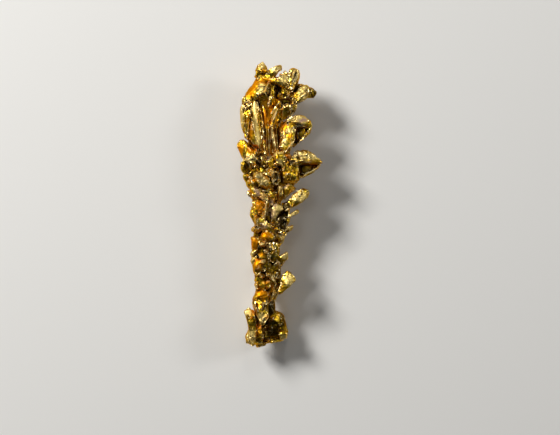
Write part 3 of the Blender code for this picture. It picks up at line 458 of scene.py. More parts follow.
# Relief of the skin, in millimetres. Facets: (size, seed, tilt, share of the way to the flat face). No point
# slides further than a share of the facet's size.
FACETS = ((1.3, 11, 0.16, 0.7), (0.5, 23, 0.16, 0.4))
FACET_SLIDE = 0.3
LUMPS = {"size": 0.28, "seed": 37, "tilt": 1.1, "crown": 0.5}
LUMP_HEIGHT_MM = 0.02
PITS = {"size": 0.6, "seed": 51, "share": 0.35, "radius": 0.26}
PIT_DEPTH_MM = 0.16
KEEN_EDGE_MM = 0.09

# How much of the relief is taken off smooth faces and keen edges, and of the facets over the long ribs.
SMOOTH_CALM = 0.7
KEEN_CALM = 0.75
RIB_CALM = 0.4

# How far the skin stands over its softened form where a crest begins and is full, and lies under it where a
# crevice begins and is full, in millimetres.
CREST_MM = (0.022, 0.046)
CREVICE_MM = (-0.01, 0.11)

# Rounds of softening that leave the form without its crests, its edges and its crevices.
CREST_ROUNDS = 4
EDGE_ROUNDS = 12
CREVICE_ROUNDS = 60


def even_steps(points, count, closed):
    """Points spaced evenly along the line through the given ones, by interpolation over its length."""
    line = np.array(points, float)
    if closed:
        line = np.concatenate([line, line[:1]])
    steps = np.sqrt((np.diff(line, axis=0) ** 2).sum(axis=1))
    reach = np.concatenate([[0], np.cumsum(steps)])
    at = np.linspace(0, reach[-1], count, endpoint=not closed)
    return np.stack([np.interp(at, reach, line[:, axis]) for axis in range(line.shape[1])], axis=1)


def rounded(points, times):
    """Each point of a closed line averaged with its two neighbours, in the shares 1:2:1, so many times."""
    for _ in range(times):
        points = 0.25 * np.roll(points, 1, axis=0) + 0.5 * points + 0.25 * np.roll(points, -1, axis=0)
    return points


def wave(x):
    """A triangle wave from 0 to 1 with a period of 1."""
    return 1 - np.abs(2 * (x % 1) - 1)


def plate_surface(item, dice):
    """A plate over (u, v): u runs round the outline, v from the front's middle over the rim to the back.

    Point = middle + share(v) * (outline(u) - middle). Its height is the plate's own, less behind(v) * depth,
    plus the lean. Inside the front, near = 1 - share / FRONT_SIZE slides the point towards the first corner
    and lifts it, so that the front is a low pyramid. Growth lines, a triangle wave across the plate's long
    axis, and ledges, a saw-tooth of share(v), stand on the front and fade out at the rim.
    """
    rows, columns = PLATE_GRID
    outline = rounded(even_steps(item.outline, columns, True), 2)
    middle = np.array(item.outline, float).mean(axis=0)
    form = [(share, behind * DEPTH_WEIGHT) for share, behind in PLATE_FORMS[item.form]]
    profile = even_steps(form, rows, False)
    share = profile[:, :1]
    behind = profile[:, 1:] / DEPTH_WEIGHT
    arm = outline - middle
    near = np.clip(1 - share / FRONT_SIZE[item.form], 0, 1) * (behind < BACK_FROM)
    apex = (np.array(item.outline[0]) - middle) * FRONT_SIZE[item.form] * APEX_SHIFT
    side = arm[:, 0] * share + apex[0] * near
    down = arm[:, 1] * share + apex[1] * near
    longest = arm[np.argmax((arm ** 2).sum(axis=1))]
    longest = longest / np.hypot(*longest)
    across = side * -longest[1] + down * longest[0]
    front = np.clip((RELIEF_END - share) * RELIEF_FADE, 0, 1) * (behind < BACK_FROM)
    spacing = dice.uniform(*LINE_SPACING)
    calm = HOLLOW_FACE_CALM if item.form in ("pan", "hopper") else 1.0
    lines = calm * dice.uniform(*LINE_HEIGHT) * (wave(across / spacing + dice.uniform(0, 1)) - 0.5)
    ledges = calm * dice.uniform(*LEDGE_HEIGHT) * ((share * dice.uniform(*LEDGE_COUNT)) % 1 - 0.5)
    z = item.z + (near * APEX_RISE[item.form] - behind) * item.depth
    z = z + item.lean[0] * side + item.lean[1] * down + front * (lines + ledges)
    return np.stack([middle[0] + side, middle[1] + down, z], axis=-1)


def unit(vector):
    """Vectors drawn to length 1."""
    vector = np.array(vector, float)
    return vector / np.sqrt((vector ** 2).sum(axis=-1, keepdims=True))


def bar_surface(item, dice):
    """A bar over (u, v): u runs round a flattened hexagon, and v from root to tip.

    Point = root + v * (tip - root) + hexagon(u) * width(v) across and depth(v) outwards. Two sines along the
    bar swell it into a row of beads.
    """
    rows, columns = BAR_GRID
    root = np.array(item.root, float)
    tip = np.array(item.tip, float)
    length = np.sqrt(((tip - root) ** 2).sum())
    along = (tip - root) / length
    across = unit(np.cross(np.array(item.facing, float), along))
    outward = np.cross(along, across)
    top = RIB_TOP if item.form == "rib" else BAR_TOP
    hexagon = ((1, 0), (top, 1), (-top, 1), (-1, 0), (-top, -1), (top, -1))
    ring = even_steps(hexagon, columns, True)
    form = np.array(BAR_FORMS[item.form], float)
    place = np.linspace(0, 1, rows)
    wide = np.interp(place, form[:, 0], form[:, 1])
    deep = np.interp(place, form[:, 0], form[:, 2])
    beads = np.ones(rows)
    for lengths in BEAD_LENGTHS:
        beads += BEAD_SWELL * np.sin(place * length / dice.uniform(*lengths) + dice.uniform(0, 6))
    beads[[0, -1]] *= BAR_END_SIZE
    wide = wide * beads * item.width / 2
    deep = deep * beads * item.depth / 2
    place = np.concatenate([[0, 0], place[2:-1], [1]])
    middle = root + along * length * place[:, None]
    return (
        middle[:, None, :]
        + across * (ring[:, 0] * wide[:, None])[:, :, None]
        + outward * (ring[:, 1] * deep[:, None])[:, :, None]
    )


def trunk_surface():
    """The trunk over (u, v): u turns round an ellipse, and v runs from crown to foot through the table."""
    rows, columns = TRUNK_GRID
    table = np.array(TRUNK, float)
    y = np.linspace(table[0, 0], table[-1, 0], rows)
    x, z, wide, deep = (np.interp(y, table[:, 0], table[:, column]) for column in (1, 2, 3, 4))
    close = np.ones(rows)
    close[[0, -1]] = 0
    turn = np.linspace(0, math.tau, columns, endpoint=False)
    y = np.repeat(y[:, None], columns, axis=1)
    return np.stack(
        [
            x[:, None] + (wide * close)[:, None] * np.cos(turn),
            y,
            z[:, None] + (deep * close)[:, None] * np.sin(turn),
        ],
        axis=-1,
    )


def resting_surface(outline, root_offset, root_height):
    """A resting crystal over (u, v): its outline at height 0, swollen at the shoulder, slid to its root."""
    rows, columns = REST_GRID
    ring = rounded(even_steps(outline, columns, True), 1)
    middle = np.array(outline, float).mean(axis=0)
    rise = np.concatenate([[0], np.linspace(0, 1, rows - 2), [1]])
    size = np.interp(rise, (0, RESTING_SHOULDER, 1), (1, RESTING_SWELL, 1))
    size[[0, -1]] = 0
    points = middle + (ring - middle) * size[:, None, None]
    points = points + rise[:, None, None] * np.array(root_offset, float)
    height = np.repeat((rise * root_height)[:, None], columns, axis=1)
    return np.concatenate([points, height[:, :, None]], axis=-1)


def grain_surfaces(seats, outs, sizes, dice):
    """Little eight-sided crystals over (u, v), longitude u and latitude v, all at once.

    Each is a ball whose sines and cosines are raised to a power over 1, which draws it into eight hollowed
    faces. It is stretched, turned about its way out by a random angle and set on its seat.
    """
    rows, columns = GRAIN_GRID
    count = len(seats)
    v = np.linspace(-math.pi / 2, math.pi / 2, rows)[:, None]
    u = np.linspace(0, math.tau, columns, endpoint=False)[None, :]

    def pointed(value):
        return np.sign(value) * np.abs(value) ** GRAIN_POWER

    ring = pointed(np.cos(v))
    pole = pointed(np.sin(v)) + 0 * u
    ball = np.stack([ring * pointed(np.cos(u)), ring * pointed(np.sin(u)), pole], axis=-1)
    stretch = dice.uniform(*GRAIN_STRETCH, (count, 1, 1, 3))
    first = unit(outs + dice.normal(0, GRAIN_LEAN, (count, 3)))
    second = unit(np.cross(first, unit(dice.normal(0, 1, (count, 3)))))
    third = np.cross(first, second)
    shape = ball[None] * stretch * sizes[:, None, None, None]
    turned = (
        shape[..., 0:1] * second[:, None, None, :]
        + shape[..., 1:2] * third[:, None, None, :]
        + shape[..., 2:3] * first[:, None, None, :]
    )
    return seats[:, None, None, :] + turned


def quads_of(grids):
    """Vertices and faces of a stack of grids (count, rows, columns, 3), each closed round its columns."""
    count, rows, columns, _ = grids.shape
    index = np.arange(rows * columns).reshape(rows, columns)
    beside = np.roll(index, -1, axis=1)
    one = np.stack([index[:-1], beside[:-1], beside[1:], index[1:]], axis=-1).reshape(-1, 4)
    faces = one[None] + (np.arange(count) * rows * columns)[:, None, None]
    return grids.reshape(-1, 3), faces.reshape(-1, 4)


def mesh_of(points, faces):
    """A mesh of these points and of faces with four corners each."""
    mesh = bpy.data.meshes.new("nugget_skin")
    mesh.vertices.add(len(points))
    mesh.vertices.foreach_set("co", points.ravel())
    mesh.loops.add(faces.size)
    mesh.loops.foreach_set("vertex_index", faces.ravel().astype(np.int32))
    mesh.polygons.add(len(faces))
    mesh.polygons.foreach_set("loop_start", np.arange(0, faces.size, 4, dtype=np.int32))
    mesh.update(calc_edges=True)
    mesh.validate()
    return mesh


def joined(batches):
    """A mesh of all the grids, its points turned from grid squares into millimetres."""
    points, faces, base = [], [], 0
    for grids in batches:
        vertices, quads = quads_of(grids)
        points.append(vertices)
        faces.append(quads + base)
        base += len(vertices)
    points = (np.concatenate(points) - [*DRAWING_MIDDLE, 0]) * [GRID_MM, -GRID_MM, GRID_MM]
    return mesh_of(points, np.concatenate(faces))


def finished(mesh, kind, **settings):
    """The mesh after one modifier has been applied to it."""
    holder = bpy.data.objects.new("holder", mesh)
    bpy.context.scene.collection.objects.link(holder)
    modifier = holder.modifiers.new("step", kind)
    for key, value in settings.items():
        setattr(modifier, key, value)
    bpy.context.view_layer.update()
    graph = bpy.context.evaluated_depsgraph_get()
    result = bpy.data.meshes.new_from_object(holder.evaluated_get(graph))
    bpy.data.objects.remove(holder)
    bpy.data.meshes.remove(mesh)
    return result


def read(collection, field, width):
    """A field of a mesh's elements as an array with so many columns, whole numbers if it has one or two."""
    values = np.empty(len(collection) * width, np.float64 if width > 2 else np.int32)
    collection.foreach_get(field, values)
    return values.reshape(-1, width)


def one_skin(mesh):
    """The mesh without what isn't joined to its largest skin, such as a void inside.

    The lowest vertex number spreads over the edges until each skin bears a single number.
    """
    edges = read(mesh.edges, "vertices", 2)
    mark = np.arange(len(mesh.vertices))
    before = None
    while before is None or (mark != before).any():
        before = mark
        lowest = np.minimum(mark[edges[:, 0]], mark[edges[:, 1]])
        mark = before.copy()
        np.minimum.at(mark, edges[:, 0], lowest)
        np.minimum.at(mark, edges[:, 1], lowest)
        mark = mark[mark]
    kept = mark == np.bincount(mark).argmax()
    quads = read(mesh.loops, "vertex_index", 1).reshape(-1, 4)
    quads = quads[kept[quads[:, 0]]]
    number = np.cumsum(kept) - 1
    return mesh_of(read(mesh.vertices, "co", 3)[kept], number[quads])


# Large odd numbers, and the shifts between them, that scramble the bits of a cell's coordinates and seed.
CELL_FACTORS = (374761393, 668265263, 2147483629)
SEED_FACTOR = 974634777
SCRAMBLE = ((13, 1274126177), (15, 2246822519))
LAST_SHIFT = 16
LOW_BITS = 0xFFFFFFFF


def lattice_value(cell, seed):
    """A number from 0 to 1 for each whole-numbered cell, by mixing its coordinates as 32-bit integers."""
    mixed = (cell.astype(np.int64) * CELL_FACTORS).sum(axis=-1) + seed * SEED_FACTOR & LOW_BITS
    for shift, factor in SCRAMBLE:
        mixed = (mixed ^ (mixed >> shift)) * factor & LOW_BITS
    return (mixed ^ (mixed >> LAST_SHIFT)) / LOW_BITS


CORNERS = np.array(list(product((0, 1), repeat=3)))
NEIGHBOURS = np.array(list(product((-1, 0, 1), repeat=3)))


def soft_noise(points, size, seed):
    """Smooth noise from -1 to 1: random values at the corners of cubes of this size, blended between them."""
    scaled = points / size
    cell = np.floor(scaled)
    part = scaled - cell
    part = part * part * (3 - 2 * part)
    total = 0
    for corner in CORNERS:
        weight = np.prod(np.where(corner, part, 1 - part), axis=-1)
        total = total + weight * lattice_value(cell + corner, seed)
    return total * 2 - 1


def grain_relief(points, size, seed, tilt, crown):
    """Lumps with tilted facets: the highest, at each point, of the planes that neighbouring cells carry.

    The plane of a cell is half a random height, plus a random tilt times the distance from the cell's seed
    point, less crown times that distance squared.
    """
    scaled = points / size
    cell = np.floor(scaled)
    best = np.full(len(points), -np.inf)
    for step in NEIGHBOURS:
        near = cell + step
        values = [lattice_value(near, seed + k) for k in range(7)]
        offset = scaled - near - np.stack(values[:3], axis=-1)
        plane = 0.5 * values[6] - crown * (offset ** 2).sum(axis=-1)
        plane += tilt * (offset * (np.stack(values[3:6], axis=-1) * 2 - 1)).sum(axis=-1)
        best = np.maximum(best, plane)
    return best


def pits(points, size, seed, share, radius):
    """Depth from 0 to 1 of round pits in a share of the cells, flat to half the radius and then rising."""
    scaled = points / size
    cell = np.floor(scaled)
    depth = np.zeros(len(points))
    for step in NEIGHBOURS:
        near = cell + step
        offset = scaled - near - np.stack([lattice_value(near, seed + k) for k in range(3)], axis=-1)
        distance = np.sqrt((offset ** 2).sum(axis=-1))
        there = lattice_value(near, seed + 5) < share
        depth = np.maximum(depth, there * np.clip((radius - distance) / (0.5 * radius), 0, 1))
    return depth


def drawn(points):
    """Places in grid squares of points in millimetres."""
    return points / [GRID_MM, -GRID_MM, GRID_MM] + [*DRAWING_MIDDLE, 0]


def near_patches(points, patches):
    """How well each point is inside one of the ellipsoids: 1 to 0.65 of the radius, and 0 from 1.12 of it."""
    place = drawn(points)
    inside = np.zeros(len(points))
    for x, y, z, wide, high, deep in patches:
        distance = (((place - [x, y, z]) / [wide, high, deep]) ** 2).sum(axis=1)
        inside = np.maximum(inside, np.clip(1.5 - distance * 1.2, 0, 1))
    return inside


# Smooth, deep orange faces: (x, y, z, radius x, radius y, radius z), in grid squares.
SMOOTH_PATCHES = (
    (250, 91, 42, 7, 9, 9), (254, 85, 43, 6, 8, 9), (251, 130, 46, 3.5, 12, 7),
    (265, 118, 46, 2.5, 12, 5), (266, 82, 46, 8, 4, 6), (284, 127, 46, 4, 6, 7),
    (290, 136, 52, 2.5, 3, 4), (241, 149, 43, 4, 6, 8), (252, 150, 46, 6, 5, 7),
    (288, 156, 48, 4, 4, 7), (313, 166, 44, 6, 4, 7), (260, 206, 46, 5, 8, 7), (266, 235, 47, 7, 4, 7),
    (254, 244, 44, 5, 7, 8), (261, 254, 44, 4, 3, 7), (258, 264, 44, 5, 7, 8), (266, 281, 43, 5, 4, 7),
    (262, 294, 43, 7, 5, 7), (257, 305, 44, 3, 3, 6), (266, 317, 42, 3, 4, 6), (250, 312, 41, 4, 4, 6),
    (260, 327, 38, 3, 4, 8), (257, 334, 36, 3, 4, 8),
)

# Pale cream faces where the light is strongest: painted highlight.
HIGHLIGHT_PATCHES = (
    (283, 80, 48, 5, 6, 8), (295, 76, 48, 5, 8, 8), (303, 93, 48, 6, 8, 8), (254.5, 107, 53, 4, 9, 6),
    (255.5, 122, 53, 3, 9, 6), (258, 138, 52, 3, 10, 6), (274, 116, 50, 5, 8, 6),
    (273, 136, 48, 3, 14, 6), (262, 66, 46, 4, 5, 8), (276, 70, 46, 5, 4, 8), (266, 91, 48, 3, 5, 6),
    (249, 159, 48, 8, 4, 8), (262, 179, 57, 10, 8, 8), (272, 173, 52, 3, 5, 8), (274, 154, 53, 3, 3, 6),
    (280, 152, 52, 4, 2, 6), (280, 163, 52, 3, 4, 6), (262, 244, 50, 4, 3, 5), (266, 252, 49, 3, 3, 5),
    (263, 261, 49, 3, 3, 5), (252, 254, 42, 3, 3, 6), (252, 260, 43, 3, 4, 6), (266, 208, 50, 2, 10, 5),
    (276, 212, 48, 4, 9, 6), (292, 215, 43, 6, 4, 6), (288, 229, 42, 4, 4, 6), (283, 240, 40, 4, 5, 6),
    (262, 89, 47, 4, 6, 5), (299, 156, 49, 10, 4, 8), (312, 157, 47, 8, 4, 8), (289, 131, 52, 6, 3, 6),
    (284, 141, 52, 3, 6, 6), (292, 146, 51, 3, 4, 6), (300, 119, 48, 10, 4, 8), (310, 170, 45, 7, 3, 8),
    (280, 190, 50, 3, 5, 8), (264, 196, 50, 4, 4, 8), (299, 197, 48, 9, 6, 8), (283, 208, 48, 7, 4, 8),
    (295, 214, 42, 5, 4, 8), (285, 256, 44, 4, 4, 8), (289, 280, 44, 5, 7, 8), (276, 293, 40, 3, 6, 8),
    (274, 277, 44, 4, 4, 8), (248, 312, 40, 4, 5, 8), (251, 336, 37, 5, 10, 8), (262, 318, 42, 5, 7, 8),
    (241, 116, 42, 3, 14, 8), (284, 338, 33, 4, 4, 8),
)

# Hollows and sheltered faces darkened to dark brown: painted shade.
SHADED_PATCHES = (
    (300, 131, 45, 6, 8, 8), (306, 171, 44, 7, 5, 7), (280, 105, 42, 4, 4, 6), (290, 112, 37, 8, 7, 8),
    (246, 165, 42, 4, 5, 8), (283, 222, 40, 6, 11, 8), (262, 103, 42, 3, 6, 7), (277, 90, 43, 4, 7, 7),
    (297, 89, 41, 7, 6, 7), (314, 93, 40, 4, 6, 8), (269, 143, 41, 3, 10, 6), (279, 133, 39, 2, 15, 8),
    (262, 163, 44, 6, 5, 6), (282, 178, 42, 3, 8, 8), (287, 204, 38, 4, 6, 8), (254, 321, 36, 3, 8, 6),
    (272, 308, 35, 5, 9, 9), (272, 329, 32, 9, 11, 12), (283, 321, 30, 6, 8, 12),
    (280, 279, 36, 4, 14, 8), (268, 268, 44, 5, 3, 7), (260, 248, 44, 3, 3, 5),
)

# Thin dull residue in some of the hollows.
RESIDUE_PATCHES = (
    (257, 192, 46, 6, 5, 7), (274, 203, 45, 5, 8, 8), (269, 219, 44, 5, 5, 8), (272, 212, 45, 5, 8, 8),
    (262, 226, 44, 8, 4, 8), (303, 121, 49, 5, 3, 7), (307, 161, 51, 6, 3, 7), (286, 186, 42, 6, 4, 7),
    (266, 158, 44, 6, 4, 7),
)


# The long ribs of the crown and the great blade beside them, in grid squares. The relief is stretched along
# them: places within the reach are drawn together by this share. It and the tint fade out over a few squares.
RIBS_Y = 127
RIBS_REACH = 29
RIBS_RIGHT = 281
RIBS_SQUEEZE = 0.7
FAN_X = 270
FAN_HALF_WIDTH = 11


def near_ribs_y(y):
    """From 0 to 1: how well these heights in the drawing are within the length of the long ribs."""
    return np.clip((RIBS_REACH + 2 - np.abs(y - RIBS_Y)) / 4, 0, 1)


def among_ribs(points):
    """From 0 to 1: how well each point is in the fan of long ribs to the right of the great blade."""
    x, y = drawn(points)[:, :2].T
    return np.clip((FAN_HALF_WIDTH - np.abs(x - FAN_X)) / 3, 0, 1) * near_ribs_y(y)


def faceted(points, normals, places, size, seed, tilt, amount):
    """Flattens the skin cell by cell, as on a crystal.

    By its place, a point belongs to the nearest of the seed places that lie one in each cube of this size,
    and by its normal to one of six sides. It slides towards the plane through the mean of its group's points,
    whose direction is the group's mean normal plus a random tilt. amount is the share of the way.
    """
    scaled = places / size
    cell = np.floor(scaled)
    nearest = np.full(len(points), np.inf)
    home = np.zeros((len(points), 3))
    for step in NEIGHBOURS:
        near = cell + step
        offset = scaled - near - np.stack([lattice_value(near, seed + k) for k in range(3)], axis=-1)
        distance = (offset ** 2).sum(axis=-1)
        closer = distance < nearest
        nearest = np.where(closer, distance, nearest)
        home = np.where(closer[:, None], near, home)
    axis = np.abs(normals).argmax(axis=1)
    side = 2 * axis + (np.take_along_axis(normals, axis[:, None], 1)[:, 0] > 0)
    _, group = np.unique(np.column_stack([home, side]), axis=0, return_inverse=True)
    group = group.ravel()
    count = np.bincount(group)
    middle = np.stack([np.bincount(group, points[:, k]) for k in range(3)], axis=1) / count[:, None]
    way = unit(np.stack([np.bincount(group, normals[:, k]) for k in range(3)], axis=1))
    way = unit(way + np.random.default_rng(seed).normal(0, tilt, way.shape))[group]
    most = FACET_SLIDE * size
    height = np.clip(((points - middle[group]) * way).sum(axis=1), -most, most)
    facing = np.clip((normals * way).sum(axis=1), 0, 1)
    return points - way * (height * amount * facing)[:, None]


def put(mesh, points):
    """Moves the mesh's vertices to these points, in millimetres, and no further than the CAD solid's box."""
    low, high = np.array(CAD_BOX) / MM
    mesh.vertices.foreach_set("co", np.clip(points, low + BOX_GAP_MM, high - BOX_GAP_MM).ravel())
    mesh.update()


def roughened(mesh):
    """Gives the skin the relief of native gold.

    Large and small facets, then lumps less pits along the normals, all weaker on the smooth faces and on
    keen edges. Over the long ribs all of it is stretched along them, and the facets are weaker.
    """
    points = read(mesh.vertices, "co", 3)
    keen = np.clip(-hollowness(mesh, EDGE_ROUNDS) / KEEN_EDGE_MM - 0.2, 0, 1)
    rough = 1 - SMOOTH_CALM * near_patches(points, SMOOTH_PATCHES)
    rough *= 0.9 + 0.3 * soft_noise(points, 2.2, 3)
    rough *= 1 - KEEN_CALM * keen
    x, y, _ = drawn(points).T
    ribbed = np.clip((RIBS_RIGHT - x) / 3, 0, 1) * near_ribs_y(y)
    places = points.copy()
    places[:, 1] += RIBS_SQUEEZE * GRID_MM * np.clip(y - RIBS_Y, -RIBS_REACH, RIBS_REACH)
    for size, seed, tilt, amount in FACETS:
        share = amount * rough * (1 - RIB_CALM * ribbed)
        put(mesh, faceted(points, read(mesh.vertex_normals, "vector", 3), places, size, seed, tilt, share))
        points = read(mesh.vertices, "co", 3)
    rise = LUMP_HEIGHT_MM * (grain_relief(places, **LUMPS) - 0.25)
    pitted = np.clip(0.2 + 1.6 * soft_noise(points, 2.6, 5), 0, 1)
    rise -= PIT_DEPTH_MM * pitted * pits(places, **PITS)
    put(mesh, points + read(mesh.vertex_normals, "vector", 3) * (rise * rough)[:, None])


def hollowness(mesh, rounds):
    """How deep each vertex lies, in mm, under the surface that rounds of averaging over its edges give."""
    points = read(mesh.vertices, "co", 3)
    normals = read(mesh.vertex_normals, "vector", 3)
    edges = read(mesh.edges, "vertices", 2)
    ends = np.concatenate([edges[:, 0], edges[:, 1]])
    others = np.concatenate([edges[:, 1], edges[:, 0]])
    count = np.maximum(np.bincount(ends, minlength=len(points)), 1)
    soft = points
    for _ in range(rounds):
        summed = [np.bincount(ends, soft[others, axis], len(points)) for axis in range(3)]
        soft = 0.4 * soft + 0.6 * np.stack(summed, axis=1) / count[:, None]
    return ((soft - points) * normals).sum(axis=1)


def add_attribute(mesh, name, values):
    """Gives the mesh's points an attribute for the material, with values kept from 0 to 1."""
    layer = mesh.attributes.new(name, "FLOAT", "POINT")
    layer.data.foreach_set("value", np.clip(values, 0, 1).astype(np.float32))


def crystal_seats(dice, count):
    """Random seats on the fronts of the plates, more of them on the larger ones."""
    plates = [item for item in CRYSTALS if isinstance(item, Plate)]
    spans = np.array([np.ptp(np.array(item.outline), axis=0).prod() for item in plates])
    chosen = dice.choice(len(plates), count, p=spans / spans.sum())
    seats = np.empty((count, 3))
    for number, item in enumerate(plates):
        mine = np.flatnonzero(chosen == number)
        outline = even_steps(item.outline, SEAT_STEPS, True)
        middle = np.array(item.outline, float).mean(axis=0)
        share = 0.94 * np.sqrt(dice.uniform(0.1, 1, len(mine)))
        arm = outline[dice.integers(0, SEAT_STEPS, len(mine))] - middle
        spot = arm * share[:, None]
        form = np.array(PLATE_FORMS[item.form])
        rim = np.argmax(form[:, 0])
        behind = np.interp(share, form[: rim + 1, 0], form[: rim + 1, 1])
        height = item.z - behind * item.depth + item.lean[0] * spot[:, 0] + item.lean[1] * spot[:, 1]
        seats[mine] = np.column_stack([middle + spot, height - GRAIN_SINK])
    return seats


def share_of(values, limits):
    """How far the values are from the first limit to the second: 0 at the one and 1 at the other."""
    return (values - limits[0]) / (limits[1] - limits[0])


def add_marks(mesh):
    """Marks the crests and crevices that the material paints with highlight and shade, and the faces and
    patches that it colours.
    """
    points = read(mesh.vertices, "co", 3)
    fine = hollowness(mesh, CREST_ROUNDS)
    broad = hollowness(mesh, CREVICE_ROUNDS)
    # Between the ribs the painted crevice shade is half as dark, and the crevices there are laid with the
    # deep orange and satin of the smooth faces, a painted warm shade.
    ribs = among_ribs(points)
    # Crevices are marked for a dark brown: painted shade, half as dark among the ribs.
    hollow_shade = np.clip(share_of(broad, CREVICE_MM) + fine * 10, 0, 1) * (1 - 0.5 * ribs)
    rib_shade = 0.6 * ribs * (hollow_shade > 0.1)
    ragged = np.clip(0.55 + 1.1 * soft_noise(points, 0.45, 9), 0, 1)
    # Crests are marked for a pale cream: painted highlight.
    add_attribute(mesh, "ridge_highlight", share_of(-fine, CREST_MM))
    add_attribute(mesh, "hollow_shade", hollow_shade)
    # Deep orange smooth faces, and the painted warm shade in the crevices between the ribs.
    add_attribute(mesh, "satin_orange_and_rib_shade", np.maximum(near_patches(points, SMOOTH_PATCHES), rib_shade))
    # Pale cream patches: painted highlight.
    add_attribute(mesh, "highlight_face", near_patches(points, HIGHLIGHT_PATCHES))
    add_attribute(mesh, "residue", ragged * near_patches(points, RESIDUE_PATCHES))
    # Dark brown on hollows and sheltered faces: painted shade, lighter among the ribs.
    add_attribute(mesh, "painted_shade", 0.8 * near_patches(points, SHADED_PATCHES) * (1 - 0.6 * ribs))


def nugget_mesh():
    """All the crystals as closed surfaces, joined into one skin by voxels, roughened and thinned."""
    dice = np.random.default_rng(8)
    plates = np.stack([plate_surface(item, dice) for item in CRYSTALS if isinstance(item, Plate)])
    bars = np.stack([bar_surface(item, dice) for item in CRYSTALS if isinstance(item, Bar)])
    resting = np.stack([resting_surface(*face) for face in RESTING])
    seats = crystal_seats(dice, GRAINS)
    outs = np.tile(GRAIN_WAY, (GRAINS, 1))
    grains = grain_surfaces(seats, outs, dice.uniform(*GRAIN_SIZE, GRAINS), dice)
    mesh = joined([trunk_surface()[None], plates, bars, resting, grains])
    mesh = one_skin(finished(mesh, "REMESH", mode="VOXEL", voxel_size=VOXEL_MM))
    roughened(mesh)
    add_marks(mesh)
    share = MOST_TRIANGLES / (2 * len(mesh.polygons))
    if share < 1:
        mesh = finished(mesh, "DECIMATE", ratio=share)
        put(mesh, read(mesh.vertices, "co", 3))
    mesh.vertices.foreach_set("co", (read(mesh.vertices, "co", 3) * MM).ravel())
    mesh.shade_flat()
    mesh.update()
    return mesh


def linear(hex_colour):
    """An sRGB hex colour as linear red, green, blue and 1."""
    parts = [int(hex_colour[k : k + 2], 16) / 255 for k in (1, 3, 5)]
    return [part / 12.92 if part <= 0.04045 else ((part + 0.055) / 1.055) ** 2.4 for part in parts] + [1.0]


def add_node(tree, kind, settings=None, inputs=None, links=None, stops=()):
    """A node with its settings, the values of its sockets, what is linked into them, and a ramp's stops."""
    node = tree.nodes.new(kind)
    for key, value in (settings or {}).items():
        setattr(node, key, value)
    for key, value in (inputs or {}).items():
        node.inputs[key].default_value = value
    for key, source in (links or {}).items():
        tree.links.new(source, node.inputs[key])
    for number, (position, colour) in enumerate(stops):
        element = node.color_ramp.elements[number] if number < 2 else node.color_ramp.elements.new(position)
        element.position = position
        element.color = linear(colour)
    return node


# Tones of the gold, from the low end of the noise to the high one: (place on the ramp, colour).
TONES = ((0.32, "#B87E14"), (0.44, "#D8A520"), (0.56, "#E2B930"), (0.68, "#C8BA42"))

# What is laid over the tones, one after another: (mark, colour).
LAYERS = (
    # Deep orange on the smooth faces, and in the crevices between the ribs as painted warm shade.
    ("satin_orange_and_rib_shade", "#EA960E"),
    # Pale cream on some faces: painted highlight.
    ("highlight_face", "#EFD27C"),
    # Dark brown on hollows and sheltered faces: painted shade.
    ("painted_shade", "#2C1D06"),
    ("residue", "#B0907E"),
    # Dark brown in the crevices: painted shade.
    ("hollow_shade", "#241202"),
    # Pale cream on the crests: painted highlight.
    ("ridge_highlight", "#FFECB4"),
)

# Roughness of the clean metal, and what the marks add to it. The faces with painted highlight are frosted and
# the orange ones satin, so that they catch the light over their whole width.
METAL_ROUGHNESS = 0.3
ROUGHER = (("residue", 0.3), ("highlight_face", 0.2), ("satin_orange_and_rib_shade", 0.2))


